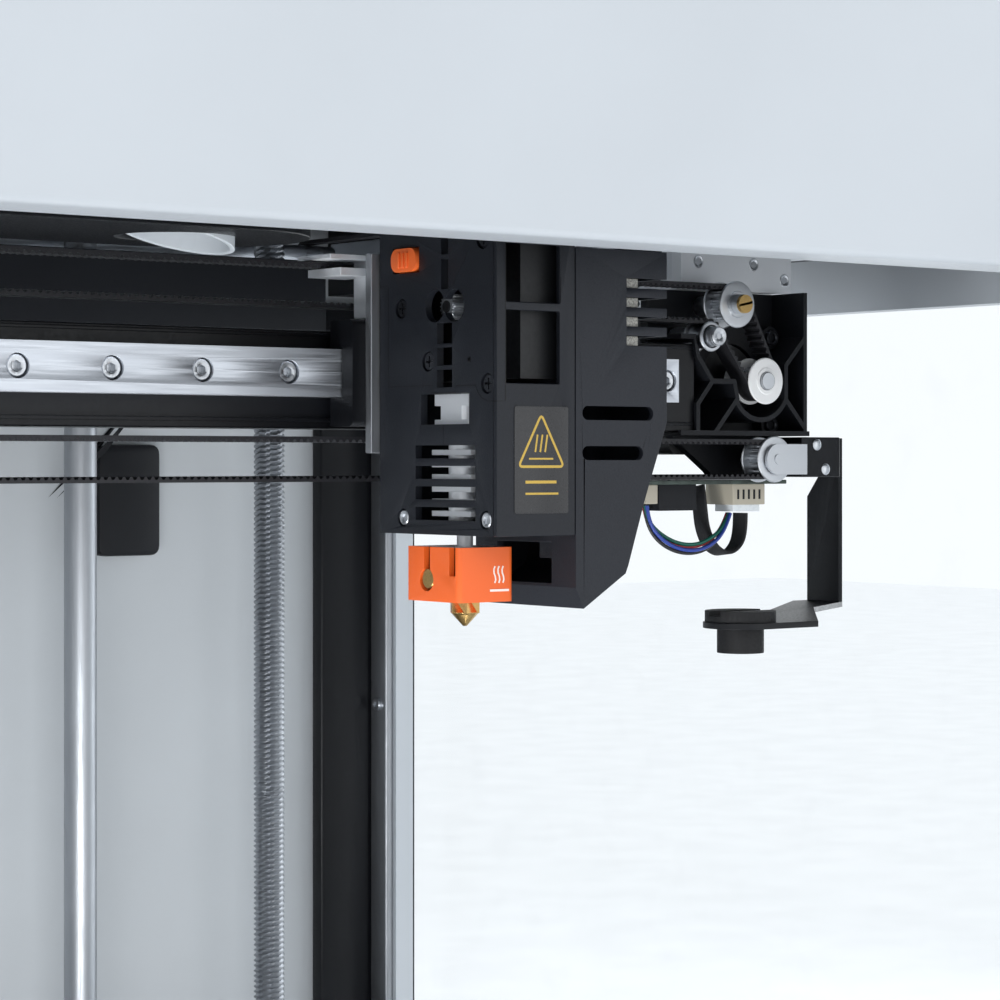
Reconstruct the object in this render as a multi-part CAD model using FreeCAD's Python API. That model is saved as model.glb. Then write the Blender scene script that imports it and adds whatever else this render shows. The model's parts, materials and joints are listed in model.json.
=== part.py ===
import FreeCAD, Part
import math
import os

# A desktop filament printer with two independent print heads on one X rail.
# Millimetres. Origin: centre of the footprint on the surface it stands on.
# +X to the machine's right, +Y to its back, +Z up.

# ---------------------------------------------------------------- overall
WIDTH = 662.0
DEPTH = 480.0
HEIGHT = 520.0
SIDE_WALL = 12.0
SKIN = 3.0
FOOT_HEIGHT = 15.0
FOOT_RADIUS = 16.0
BASE_TOP = 100.0
CORNER_RADIUS = 8.0
GAP = 0.3                      # clearance between separate pieces

# ---------------------------------------------------------------- casing
FASCIA_DEPTH = 18.0
FASCIA_HEIGHT = 70.0
LID_THICKNESS = 9.0
HINGE_RADIUS = 3.2
HINGE_PIN = 1.5
HINGE_X = 210.0
HINGE_HALF = 16.0              # half of the lid's own knuckle
HINGE_LEAF = 14.0
TOP_FRAME_THICKNESS = 8.0
BACK_CAVITY = 35.0             # space between the inner and the rear panel
FRONT_POST_DEPTH = 93.0
BACK_POST_DEPTH = 55.0
WINDOW_SILL = 40.0
WINDOW_HEADER = 71.0
WINDOW_LAP = 8.0
WINDOW_THICKNESS = 3.0
SCREEN_WIDTH = 150.0
SCREEN_HEIGHT = 62.0

# ---------------------------------------------------------------- Z axis
ROD_RADIUS = 6.0
ROD_X = 163.0
SCREW_RADIUS = 6.0
SCREW_X = 245.0
ROD_INSET = 40.0               # from the inner back panel
RUNNING_CLEARANCE = 0.05
BED_WIDTH = 306.0
BED_DEPTH = 240.0
BED_TOP = 150.0
BED_THICKNESS = 6.0
SHEET_THICKNESS = 1.2
BED_FRONT_INSET = 25.0

# ---------------------------------------------------------------- stepper motors
MOTOR_SIZE = 42.3
MOTOR_LENGTH = 40.0
MOTOR_SHAFT_RADIUS = 2.5
X_MOTOR_SHAFT = 20.0
MOTOR_HEADROOM = 0.55
MOTOR_TO_PANEL = 2.85

# ---------------------------------------------------------------- linear rails
RAIL_WIDTH = 12.0
RAIL_HEIGHT = 8.0
RAIL_ASSEMBLY = 13.0           # rail base to the top of the carriage
CARRIAGE_WIDTH = 27.0
CARRIAGE_LENGTH = 34.7
CARRIAGE_SHIFT = 4.5           # head carriage centre, sideways from the nozzle
RAIL_PITCH = 25.0
RAIL_HOLE_RADIUS = 1.75
RAIL_HEAD_RADIUS = 3.0

# ---------------------------------------------------------------- gantry
RAIL_FRONT = 91.0              # from the front of the machine to the X rail's face
RAIL_Z = 422.0
RAIL_SHORT = 6.5               # how far the X rail stops before each end bracket
BEAM_HEIGHT = 25.0
BEAM_DEPTH = 21.0
BEAM_DROP = 14.0               # beam's lower face below the rail's middle
BEAM_TO_MOTOR = 3.95
BELT_OFFSET = 9.0              # belts' mid line behind the rail's face
BELT_WIDTH = 6.0
BELT_THICKNESS = 1.4
PULLEY_RADIUS = 5.1            # to the belt's pitch line
FLANGE_RADIUS = 6.7
IDLER_RADIUS = 4.35
END_OFFSET = 83.5              # side wall to the outer edge of an end bracket
END_WIDTH = 50.0
WEB = 3.0
RIB = 1.4
RIB_DEPTH = 13.5
PARK_DROP = 61.7               # nozzle parking pad below the rail
PAD_THICKNESS = 3.0
SOCK_WALL = 1.5                # silicone sock round the heater block
PAD_PLUG = 6.6
PAD_CHANNEL = 4.4              # slot in the pad that the nozzle runs through
ARM_SHEET = 1.6
PAD_RADIUS = 9.5
PAD_PLUG_RADIUS = 6.25

# ---------------------------------------------------------------- print heads
NOZZLE_Z = 359.3
NOZZLE_OFFSET = 35.0           # in front of the rail's face
HEAD_LEFT = 6.6                # nozzle to the inner side of the head
HEAD_COVER = 24.0
HEAD_DUCT = 29.5
HEAD_FRONT = 20.0              # nozzle to the front of the covers
HEAD_BACK = 27.0
HEAD_BOTTOM = 381.7
HEAD_TOP = 460.0
WALL = 2.0
RIGHT_REST = 78.5
LEFT_REST = -166.8

# ---------------------------------------------------------------- derived places
HALF = WIDTH / 2
INNER = HALF - SIDE_WALL
FRONT = -DEPTH / 2
BACK = DEPTH / 2
BACK_PANEL = BACK - BACK_CAVITY
HINGE_Y = BACK - HINGE_RADIUS - 0.3
FASCIA_BOTTOM = HEIGHT - FASCIA_HEIGHT
LID_BOTTOM = HEIGHT - LID_THICKNESS
FRAME_TOP = LID_BOTTOM - GAP
FRAME_BOTTOM = FRAME_TOP - TOP_FRAME_THICKNESS
DECK_TOP = BASE_TOP + SKIN
WINDOW_LOW = BASE_TOP + WINDOW_SILL
WINDOW_HIGH = HEIGHT - WINDOW_HEADER
WINDOW_FRONT = FRONT + FRONT_POST_DEPTH
WINDOW_BACK = BACK - BACK_POST_DEPTH
ROD_Y = BACK_PANEL - ROD_INSET
RAIL_FACE = FRONT + RAIL_FRONT
BEAM_FRONT = RAIL_FACE + RAIL_HEIGHT
BEAM_BACK = BEAM_FRONT + BEAM_DEPTH
BELT_Y = RAIL_FACE + BELT_OFFSET
NOZZLE_Y = RAIL_FACE - NOZZLE_OFFSET
HEAD_RIGHT = HEAD_COVER + HEAD_DUCT - HEAD_LEFT
END_OUTER = INNER - END_OFFSET
END_INNER = END_OUTER - END_WIDTH
WEB_BACK = BELT_Y + 15.0
WEB_FRONT = WEB_BACK - WEB
RIB_FRONT = WEB_FRONT - RIB_DEPTH
UPPER_PULLEY = (END_OUTER - 29.6, RAIL_Z + 22.5)
RETURN_IDLER = (END_OUTER - 39.5, RAIL_Z + 13.05)
MOTOR_PULLEY = (END_OUTER - 18.4, RAIL_Z + 0.8)
LOWER_PULLEY = (END_OUTER - 14.9, RAIL_Z - 21.8)
BEAM_HALF = MOTOR_PULLEY[0] - MOTOR_SIZE / 2 - BEAM_TO_MOTOR
RAIL_HALF = END_INNER - RAIL_SHORT
BEAM_LOW = RAIL_Z - BEAM_DROP
UPPER_BELT_TOP = UPPER_PULLEY[1] + PULLEY_RADIUS
LOWER_BELT_TOP = LOWER_PULLEY[1] + PULLEY_RADIUS
PARK_X = 170.0
PARK_Z = RAIL_Z - PARK_DROP
Y_RAIL_Z = FRAME_BOTTOM - MOTOR_SIZE / 2 - MOTOR_HEADROOM
Y_RAIL_FACE = INNER - 20.0
Y_BLOCK_FACE = Y_RAIL_FACE - RAIL_ASSEMBLY
Y_BELT_X = Y_BLOCK_FACE - 12.0
Y_SHAFT_Y = BACK_PANEL - MOTOR_SIZE / 2 - MOTOR_TO_PANEL
Y_SHAFT_RADIUS = PULLEY_RADIUS - BELT_THICKNESS / 2 - 0.4
Y_IDLER_Y = FRONT + 36.0

made = {}


# ---------------------------------------------------------------- shape helpers
def vec(x, y, z):
    return FreeCAD.Vector(x, y, z)


def block(x0, x1, y0, y1, z0, z1):
    return Part.makeBox(x1 - x0, y1 - y0, z1 - z0, vec(x0, y0, z0))


def rod_x(x0, x1, y, z, radius):
    return Part.makeCylinder(radius, x1 - x0, vec(x0, y, z), vec(1, 0, 0))


def rod_y(x, y0, y1, z, radius):
    return Part.makeCylinder(radius, y1 - y0, vec(x, y0, z), vec(0, 1, 0))


def rod_z(x, y, z0, z1, radius):
    return Part.makeCylinder(radius, z1 - z0, vec(x, y, z0), vec(0, 0, 1))


def plate_xz(points, y0, y1):
    wire = Part.makePolygon([vec(x, y0, z) for x, z in points + points[:1]])
    return Part.Face(wire).extrude(vec(0, y1 - y0, 0))


def plate_yz(points, x0, x1):
    wire = Part.makePolygon([vec(x0, y, z) for y, z in points + points[:1]])
    return Part.Face(wire).extrude(vec(x1 - x0, 0, 0))


def plate_xy(points, z0, z1):
    wire = Part.makePolygon([vec(x, y, z0) for x, y in points + points[:1]])
    return Part.Face(wire).extrude(vec(0, 0, z1 - z0))


def joined(shapes):
    shapes = list(shapes)
    whole = shapes[0]
    for shape in shapes[1:]:
        whole = whole.fuse(shape)
    return whole.removeSplitter()


def cut(shape, tools):
    for tool in tools:
        shape = shape.cut(tool)
    return shape


def mirrored(shape):
    return shape.mirror(vec(0, 0, 0), vec(1, 0, 0))


def both_sides(shapes):
    return list(shapes) + [mirrored(s) for s in shapes]


def rounded(shape, radius, direction, where=lambda c: True):
    """Fillet the straight edges that run along one axis."""
    edges = []
    for edge in shape.Edges:
        if len(edge.Vertexes) == 2 and edge.Curve.TypeId == "Part::GeomLine":
            run = edge.Vertexes[1].Point - edge.Vertexes[0].Point
            run.normalize()
            if abs(run.dot(direction)) > 0.999 and where(edge.CenterOfMass):
                edges.append(edge)
    return shape.makeFillet(radius, edges)


def node(name, *shapes):
    made[name] = list(shapes)


# ---------------------------------------------------------------- casing
def base():
    x, z0, z1 = HALF, FOOT_HEIGHT, BASE_TOP
    tray = rounded(block(-x, x, FRONT, BACK, z0, z1), CORNER_RADIUS, vec(0, 0, 1))
    inside = block(-x + SKIN, x - SKIN, FRONT + SKIN, BACK - SKIN, z0 + SKIN, z1)
    tray = tray.cut(inside)
    screen_z = (z0 + z1) / 2
    screen_hole = block(-SCREEN_WIDTH / 2, SCREEN_WIDTH / 2, FRONT - 1, FRONT + SKIN + 1,
                        screen_z - SCREEN_HEIGHT / 2, screen_z + SCREEN_HEIGHT / 2)
    socket_x = x - 60.0
    socket_hole = block(socket_x - 14, socket_x + 14, BACK - SKIN - 1, BACK + 1,
                        screen_z - 24, screen_z + 24)
    slots = [block(-x + 40 + 14 * n, -x + 47 + 14 * n, BACK - SKIN - 1, BACK + 1,
                   screen_z - 20, screen_z + 20) for n in range(12)]
    node("base_tray", cut(tray, [screen_hole, socket_hole] + slots))

    deck = block(-x + SKIN + GAP, x - SKIN - GAP, FRONT + SKIN + GAP, BACK - SKIN - GAP,
                 z1 - 8.0, z1 - 5.0)
    holes = [rod_z(s * SCREW_X, ROD_Y, 0, z1, 13.5) for s in (-1, 1)]
    node("base_deck", cut(deck, holes))

    feet = []
    for sx in (-1, 1):
        for sy in (-1, 1):
            fx, fy = sx * (x - 45), sy * (BACK - 45)
            foot = rod_z(fx, fy, 0, FOOT_HEIGHT, FOOT_RADIUS)
            feet.append(foot.makeChamfer(1.5, [foot.Edges[2]]))
    node("feet", *feet)

    lip = 3.0
    bezel = block(-SCREEN_WIDTH / 2 + GAP, SCREEN_WIDTH / 2 - GAP, FRONT, FRONT + 12,
                  screen_z - SCREEN_HEIGHT / 2 + GAP, screen_z + SCREEN_HEIGHT / 2 - GAP)
    glass_pocket = block(-SCREEN_WIDTH / 2 + lip, SCREEN_WIDTH / 2 - lip, FRONT - 1, FRONT + 2,
                         screen_z - SCREEN_HEIGHT / 2 + lip, screen_z + SCREEN_HEIGHT / 2 - lip)
    glass = block(-SCREEN_WIDTH / 2 + lip + 0.1, SCREEN_WIDTH / 2 - lip - 0.1, FRONT + 0.4, FRONT + 2,
                  screen_z - SCREEN_HEIGHT / 2 + lip + 0.1, screen_z + SCREEN_HEIGHT / 2 - lip - 0.1)
    node("touch_screen", bezel.cut(glass_pocket), glass)

    inlet = block(socket_x - 14 + GAP, socket_x + 14 - GAP, BACK - 26, BACK,
                  screen_z - 24 + GAP, screen_z + 24 - GAP)
    mouth = block(socket_x - 11, socket_x + 11, BACK - 14, BACK + 1, screen_z - 20, screen_z - 3)
    pins = [block(socket_x + px - 1, socket_x + px + 1, BACK - 14, BACK - 3, pz - 2, pz + 2)
            for px, pz in ((-6, screen_z - 14), (6, screen_z - 14), (0, screen_z - 9))]
    rocker_z = screen_z + 11
    rocker_well = block(socket_x - 10, socket_x + 10, BACK - 14, BACK + 1, rocker_z - 9, rocker_z + 9)
    pivot_y = BACK - 8.0
    pivot_hole = rod_x(socket_x - 11.6, socket_x + 11.6, pivot_y, rocker_z, 1.5 + RUNNING_CLEARANCE)
    inlet = cut(inlet, [mouth, rocker_well, pivot_hole])
    node("power_inlet", *([inlet] + pins))
    rocker = plate_yz([(pivot_y - 4, rocker_z - 5), (BACK - 3.2, rocker_z - 7), (BACK - 4.4, rocker_z),
                       (BACK - 0.4, rocker_z + 6.4), (pivot_y - 4, rocker_z + 5)],
                      socket_x - 10 + GAP, socket_x + 10 - GAP)
    pivot = rod_x(socket_x - 11.3, socket_x + 11.3, pivot_y, rocker_z, 1.5)
    node("power_rocker", joined([rocker, pivot]))

    supply_x = -115.0
    supply = block(supply_x, supply_x + 115, BACK - 260, BACK - 45, z0 + SKIN + 6, z0 + SKIN + 56)
    supply_feet = [rod_z(supply_x + fx, BACK - 260 + fy, z0 + SKIN, z0 + SKIN + 6, 4)
                   for fx in (12, 103) for fy in (12, 203)]
    board = block(40, 190, -60, 60, z0 + SKIN + 8, z0 + SKIN + 9.6)
    posts = [rod_z(bx, by, z0 + SKIN, z0 + SKIN + 8, 3) for bx in (46, 184) for by in (-54, 54)]
    chips = [block(60 + 24 * n, 74 + 24 * n, -20, -6, z0 + SKIN + 9.6, z0 + SKIN + 18) for n in range(5)]
    plugs = [block(50 + 22 * n, 66 + 22 * n, 44, 56, z0 + SKIN + 9.6, z0 + SKIN + 20) for n in range(6)]
    node("base_electronics", supply, *(supply_feet + [board] + posts + chips + plugs))


def sides():
    frame_top = LID_BOTTOM - GAP
    outline = [(FRONT, BASE_TOP), (BACK, BASE_TOP), (BACK, frame_top), (FRONT + FASCIA_DEPTH, frame_top),
               (FRONT + FASCIA_DEPTH, FASCIA_BOTTOM), (FRONT, FASCIA_BOTTOM)]
    frame = plate_yz(outline, INNER, HALF)
    frame = rounded(frame, CORNER_RADIUS, vec(0, 0, 1), lambda c: c.x > HALF - 0.1)
    opening = block(INNER - 1, HALF + 1, WINDOW_FRONT, WINDOW_BACK, WINDOW_LOW, WINDOW_HIGH)
    opening = rounded(opening, 6.0, vec(1, 0, 0))
    rebate = block(HALF - WINDOW_THICKNESS - 0.5, HALF + 1, WINDOW_FRONT - WINDOW_LAP,
                   WINDOW_BACK + WINDOW_LAP, WINDOW_LOW - WINDOW_LAP, WINDOW_HIGH + WINDOW_LAP)
    frame = frame.cut(opening).cut(rebate)
    node("side_frame_right", frame)
    node("side_frame_left", mirrored(frame))
    pane = block(HALF - WINDOW_THICKNESS - 0.5, HALF - 0.5, WINDOW_FRONT - WINDOW_LAP + GAP,
                 WINDOW_BACK + WINDOW_LAP - GAP,
                 WINDOW_LOW - WINDOW_LAP + GAP, WINDOW_HIGH + WINDOW_LAP - GAP)
    node("side_windows", *both_sides([pane]))


def front_and_back():
    y1 = FRONT + FASCIA_DEPTH - GAP
    beam = block(-HALF, HALF, FRONT, y1, FASCIA_BOTTOM + GAP, HEIGHT)
    beam = rounded(beam, CORNER_RADIUS, vec(0, 0, 1), lambda c: c.y < FRONT + 0.1)
    beam = rounded(beam, 2.0, vec(1, 0, 0), lambda c: c.y < FRONT + 0.1)
    hollow = block(-HALF + SKIN, HALF - SKIN, FRONT + SKIN, y1 + 1, FASCIA_BOTTOM + GAP + SKIN, HEIGHT - SKIN)
    node("front_fascia", beam.cut(hollow))

    panel = block(-INNER + GAP, INNER - GAP, BACK_PANEL, BACK_PANEL + 2, BASE_TOP + GAP, FRAME_BOTTOM - GAP)
    node("back_inner_panel", panel)
    cover = block(-INNER + GAP, INNER - GAP, BACK - SKIN, BACK, BASE_TOP + GAP, LID_BOTTOM - GAP)
    vents = [block(-90 + 18 * n, -82 + 18 * n, BACK - SKIN - 1, BACK + 1, 300, 360) for n in range(11)]
    node("rear_cover", cut(cover, vents))


def top():
    ring = block(-INNER + GAP, INNER - GAP, FRONT + FASCIA_DEPTH, BACK - SKIN - GAP, FRAME_BOTTOM, FRAME_TOP)
    opening = block(-Y_RAIL_FACE + 6, Y_RAIL_FACE - 6, FRONT + 60, BACK_PANEL - 45, FRAME_BOTTOM - 1, HEIGHT)
    ring = ring.cut(opening)
    rail_beam = block(Y_RAIL_FACE, INNER - GAP, FRONT + FASCIA_DEPTH, BACK_PANEL - GAP,
                      Y_RAIL_Z - 14, FRAME_BOTTOM)
    node("top_frame", joined([ring] + both_sides([rail_beam])))

    lid_back = HINGE_Y - HINGE_RADIUS - 1.2
    lid = block(-HALF + 1, HALF - 1, FRONT + FASCIA_DEPTH, lid_back, LID_BOTTOM, HEIGHT)
    lid = rounded(lid, CORNER_RADIUS, vec(0, 0, 1), lambda c: c.y > 0)
    pocket = block(-HALF + 22, HALF - 22, FRONT + FASCIA_DEPTH + 18, BACK - 30, LID_BOTTOM - 1, HEIGHT - 3)
    grip = block(-60, 60, FRONT + FASCIA_DEPTH - 1, FRONT + FASCIA_DEPTH + 6, LID_BOTTOM - 1, HEIGHT - 4)
    lid = cut(lid, [pocket, grip])
    frame = made["top_frame"][0]
    cover = made["rear_cover"][0]
    for hinge_x in (-HINGE_X, HINGE_X):
        a, b = hinge_x - HINGE_HALF, hinge_x + HINGE_HALF
        outer = HINGE_HALF + HINGE_LEAF
        well_x = (hinge_x - outer - GAP, hinge_x + outer + GAP)
        well = joined([rod_x(*well_x, HINGE_Y, LID_BOTTOM, HINGE_RADIUS + GAP),
                       block(hinge_x - outer - GAP, hinge_x + outer + GAP, HINGE_Y, BACK + 1,
                             LID_BOTTOM - HINGE_RADIUS - GAP, LID_BOTTOM + 1)])
        frame = frame.cut(well)
        cover = cover.cut(well)
        pin = rod_x(hinge_x - outer, hinge_x + outer, HINGE_Y, LID_BOTTOM, HINGE_PIN)
        knuckle = rod_x(a, b, HINGE_Y, LID_BOTTOM, HINGE_RADIUS)
        leaf = block(a, b, lid_back - 1, HINGE_Y, LID_BOTTOM, LID_BOTTOM + HINGE_RADIUS)
        lid = joined([lid, knuckle, leaf])
        lid = lid.cut(rod_x(a - 1, b + 1, HINGE_Y, LID_BOTTOM, HINGE_PIN + RUNNING_CLEARANCE))
        for x0, x1 in ((hinge_x - outer, a - GAP), (b + GAP, hinge_x + outer)):
            ear = rod_x(x0, x1, HINGE_Y, LID_BOTTOM, HINGE_RADIUS)
            foot = block(x0, x1, HINGE_Y - 3.0, BACK - SKIN - GAP, FRAME_BOTTOM + 1, LID_BOTTOM)
            frame = joined([frame, ear, foot])
        frame = joined([frame, pin])
    made["top_frame"] = [frame]
    node("rear_cover", cover)
    node("top_lid", lid)

    duct_z0, duct_z1 = HEIGHT - 46.0, FRAME_BOTTOM
    nose_x, nose_y, nose_r = 148.0, 62.0, 40.0
    duct_x = -185.0
    body = block(duct_x, nose_x, nose_y - nose_r, nose_y + nose_r, duct_z0, duct_z1)
    housing = joined([body, rod_z(nose_x, nose_y, duct_z0, duct_z1, nose_r)])
    hollow = joined([block(duct_x + 2, nose_x, nose_y - nose_r + 2, nose_y + nose_r - 2,
                           duct_z0 + 2, duct_z1 + 1),
                     rod_z(nose_x, nose_y, duct_z0 + 2, duct_z1 + 1, nose_r - 2)])
    throat = rod_z(nose_x - 6, nose_y, duct_z0 - 1, duct_z1, 20)
    straps = [block(x - 10, x + 10, FRONT + 55, BACK_PANEL - 40, FRAME_BOTTOM, FRAME_TOP) for x in (-150, 60)]
    made["top_frame"] = [joined(made["top_frame"] + straps)]
    housing = cut(housing, [hollow, throat])
    collar = rod_z(nose_x - 6, nose_y, duct_z0 - 8, duct_z0 + 12, 20 - GAP / 3)
    bore = rod_z(nose_x - 6, nose_y, duct_z0 - 10, duct_z0 + 14, 18)
    slope = plate_xz([(nose_x - 30, duct_z0 - 12), (nose_x + 20, duct_z0 - 12), (nose_x + 20, duct_z0 - 6.5),
                      (nose_x - 30, duct_z0 + 5.5)], nose_y - 30, nose_y + 30)
    node("air_duct", housing, cut(collar, [bore, slope]))


# ---------------------------------------------------------------- shared machine parts
def motor(shaft):
    """A square stepper motor. Its face is at z = 0, its shaft points up."""
    half = MOTOR_SIZE / 2
    middle = block(-half, half, -half, half, -MOTOR_LENGTH, 0)
    middle = rounded(middle, 4.0, vec(0, 0, 1))
    waist = MOTOR_LENGTH * 0.2
    trim = block(-half - 1, half + 1, -half - 1, half + 1, -MOTOR_LENGTH + waist, -waist)
    core = block(-half + 1, half - 1, -half + 1, half - 1, -MOTOR_LENGTH, 0)
    middle = middle.cut(trim.cut(core))
    boss = rod_z(0, 0, 0, 2, 11)
    return joined([middle, boss, rod_z(0, 0, 0, shaft, MOTOR_SHAFT_RADIUS)])


def placed(shape, at, axis, angle):
    shape = shape.copy()
    shape.rotate(vec(0, 0, 0), axis, angle)
    shape.translate(at)
    return shape


def rail_x(length, x, face, z, holes):
    """A ground rail along X with side grooves and counterbored holes."""
    y0, y1, half = face, face + RAIL_HEIGHT, RAIL_WIDTH / 2
    rail = block(x - length / 2, x + length / 2, y0, y1, z - half, z + half)
    for s in (-1, 1):
        edge, inner, outer = z + s * half, z + s * (half - 1), z + s * (half + 1)
        groove = plate_yz([(y0 + 2.0, outer), (y0 + 2.0, edge), (y0 + 3.0, inner),
                           (y0 + 4.5, inner), (y0 + 5.5, edge), (y0 + 5.5, outer)], x - length, x + length)
        rail = rail.cut(groove)
    if holes:
        count = int((length - 2 * RAIL_HEAD_RADIUS) / RAIL_PITCH) + 1
        for n in range(count):
            hx = x + (n - (count - 1) / 2) * RAIL_PITCH
            rail = rail.cut(rod_y(hx, y0 - 1, y0 + 4.5, z, RAIL_HEAD_RADIUS))
            rail = rail.cut(rod_y(hx, y0, y1 + 1, z, RAIL_HOLE_RADIUS))
    return rail


def carriage(length):
    """A rail carriage along X, rail face at y = 0, body towards -Y, centred on z = 0."""
    half, rail_half = CARRIAGE_WIDTH / 2, RAIL_WIDTH / 2 + GAP
    top = RAIL_ASSEMBLY - RAIL_HEIGHT
    body = block(-length / 2, length / 2, -top, 5.0, -half, half)
    body = body.cut(block(-length, length, -GAP, 6.0, -rail_half, rail_half))
    return rounded(body, 1.5, vec(1, 0, 0), lambda c: c.y < -top + 0.1)


# ---------------------------------------------------------------- fixed drives
def drives():
    rod_top = FRAME_BOTTOM
    rods = [rod_z(s * ROD_X, ROD_Y, BASE_TOP - 5, rod_top, ROD_RADIUS) for s in (-1, 1)]
    node("z_guide_rods", *rods)
    motors = []
    for s in (-1, 1):
        z_motor = motor(16)
        z_motor.translate(vec(s * SCREW_X, ROD_Y, BASE_TOP - 30))
        stand_back = ROD_Y - MOTOR_SIZE / 2 - 1.35
        stand = block(s * SCREW_X - 28, s * SCREW_X + 28, stand_back - 3.5, stand_back,
                      FOOT_HEIGHT + SKIN, BASE_TOP - 8)
        motors += [z_motor, stand]
    motor_x = -190.0
    y_motor = placed(motor(6), vec(motor_x, Y_SHAFT_Y, Y_RAIL_Z), vec(0, 1, 0), 90)
    shaft_bore = rod_x(motor_x - 60, motor_x + 20, Y_SHAFT_Y, Y_RAIL_Z, Y_SHAFT_RADIUS + RUNNING_CLEARANCE)
    reach = MOTOR_SIZE / 2 + 0.85
    y_bracket = block(motor_x + 0.2, motor_x + 3.2, Y_SHAFT_Y - reach, Y_SHAFT_Y + reach,
                      Y_RAIL_Z - reach, FRAME_BOTTOM)
    y_bracket = y_bracket.cut(rod_x(motor_x - 1, motor_x + 9, Y_SHAFT_Y, Y_RAIL_Z, 11.2))
    y_motor = y_motor.cut(shaft_bore)
    node("frame_motors", *(motors + [y_motor, y_bracket]))

    rail_y0, rail_y1 = FRONT + 36, BACK_PANEL - 14
    rail = rail_x(rail_y1 - rail_y0, 0, 0, 0, False)
    rail = placed(rail, vec(Y_RAIL_FACE - RAIL_HEIGHT, (rail_y0 + rail_y1) / 2, Y_RAIL_Z), vec(0, 0, 1), -90)
    node("y_rails", *both_sides([rail]))

    belts = []
    z, r = Y_RAIL_Z, PULLEY_RADIUS + BELT_THICKNESS / 2
    for s in (-1, 1):
        x0 = s * Y_BELT_X - BELT_WIDTH / 2
        belts.append(loop_belt([(Y_IDLER_Y, z), (Y_SHAFT_Y, z)], r, x0, x0 + BELT_WIDTH))
        belts.append(rod_x(s * Y_BELT_X - 5, s * Y_BELT_X + 5, Y_IDLER_Y, z, r - BELT_THICKNESS - 0.2))
        arm = block(s * Y_BELT_X - 8, s * Y_BELT_X - 5, Y_IDLER_Y - 5, Y_IDLER_Y + 5, z - 5, FRAME_BOTTOM)
        belts.append(arm)
    node("y_belts", *belts)

    shaft = rod_x(-Y_BELT_X - 10, Y_BELT_X + 10, Y_SHAFT_Y, z, Y_SHAFT_RADIUS)
    for s in (-1, 1):
        shaft = shaft.fuse(rod_x(s * Y_BELT_X - 4, s * Y_BELT_X + 4, Y_SHAFT_Y, z, Y_SHAFT_RADIUS + 0.2))
    node("y_drive_shaft", shaft.removeSplitter())
    for s, side in ((-1, "left"), (1, "right")):
        x = s * SCREW_X
        screw = rod_z(x, ROD_Y, BASE_TOP - 8, rod_top - 6, SCREW_RADIUS)
        coupler = rod_z(x, ROD_Y, BASE_TOP - 14, BASE_TOP + 12, 10)
        coupler = coupler.cut(rod_z(x, ROD_Y, BASE_TOP - 15, BASE_TOP - 9, MOTOR_SHAFT_RADIUS + 0.05))
        node("z_leadscrew_" + side, joined([screw, coupler]))


def loop_belt(ends, radius, x0, x1):
    """A closed belt round two pulleys of one size whose centres are (y, z)."""
    (ya, z), (yb, _) = ends
    outer = joined([block(x0, x1, ya, yb, z - radius, z + radius), rod_x(x0, x1, ya, z, radius),
                    rod_x(x0, x1, yb, z, radius)])
    r = radius - BELT_THICKNESS
    inner = joined([block(x0 - 1, x1 + 1, ya, yb, z - r, z + r), rod_x(x0 - 1, x1 + 1, ya, z, r),
                    rod_x(x0 - 1, x1 + 1, yb, z, r)])
    return outer.cut(inner)


# ---------------------------------------------------------------- bed
def bed():
    y0 = FRONT + BED_FRONT_INSET
    y1 = y0 + BED_DEPTH
    half = BED_WIDTH / 2
    top = BED_TOP
    sheet = block(-half, half, y0, y1, top - SHEET_THICKNESS, top)
    sheet = rounded(sheet, 4.0, vec(0, 0, 1))
    tab = block(-22, 22, y0 - 9, y0 + 1, top - SHEET_THICKNESS, top)
    node("build_sheet", joined([sheet, tab]))
    plate_top = top - SHEET_THICKNESS
    plate = rounded(block(-half, half, y0, y1, plate_top - BED_THICKNESS, plate_top), 4.0, vec(0, 0, 1))
    node("heated_bed", plate)
    arm_top = plate_top - BED_THICKNESS - 8
    arms = []
    for s in (-1, 1):
        arms.append(block(s * 110 - 12, s * 110 + 12, y0 + 12, ROD_Y - 18, arm_top - 16, arm_top))
    arms.append(block(-122, 122, y0 + 12, y0 + 36, arm_top - 16, arm_top))
    arms.append(block(-SCREW_X - 20, SCREW_X + 20, ROD_Y - 22, ROD_Y - 14, arm_top - 16, arm_top + 20))
    for s in (-1, 1):
        arms.append(block(s * ROD_X - 16, s * ROD_X + 16, ROD_Y - 16, ROD_Y + 16, arm_top - 16, arm_top + 20))
        arms.append(block(s * SCREW_X - 14, s * SCREW_X + 14, ROD_Y - 16, ROD_Y + 14,
                          arm_top - 4, arm_top + 4))
    for x in (-110, 110):
        for y in (y0 + 24, y1 - 24):
            arms.append(rod_z(x, y, arm_top - 1, arm_top + 8, 5))
    frame = joined(arms)
    for s in (-1, 1):
        frame = frame.cut(rod_z(s * ROD_X, ROD_Y, 0, HEIGHT, ROD_RADIUS + RUNNING_CLEARANCE))
        frame = frame.cut(rod_z(s * SCREW_X, ROD_Y, 0, HEIGHT, SCREW_RADIUS + RUNNING_CLEARANCE))
    node("bed_carriage", frame)


# ---------------------------------------------------------------- gantry
def x_beam():
    half, wall = BEAM_HALF, 4.0
    z0, z1 = BEAM_LOW, BEAM_LOW + BEAM_HEIGHT
    beam = block(-half, half, BEAM_FRONT, BEAM_BACK, z0, z1)
    bore = block(-half - 1, half + 1, BEAM_FRONT + wall, BEAM_BACK - wall, z0 + wall, z1 - wall)
    node("x_beam", beam.cut(bore))
    node("x_rail", rail_x(2 * RAIL_HALF, 0, RAIL_FACE, RAIL_Z, True))


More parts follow.
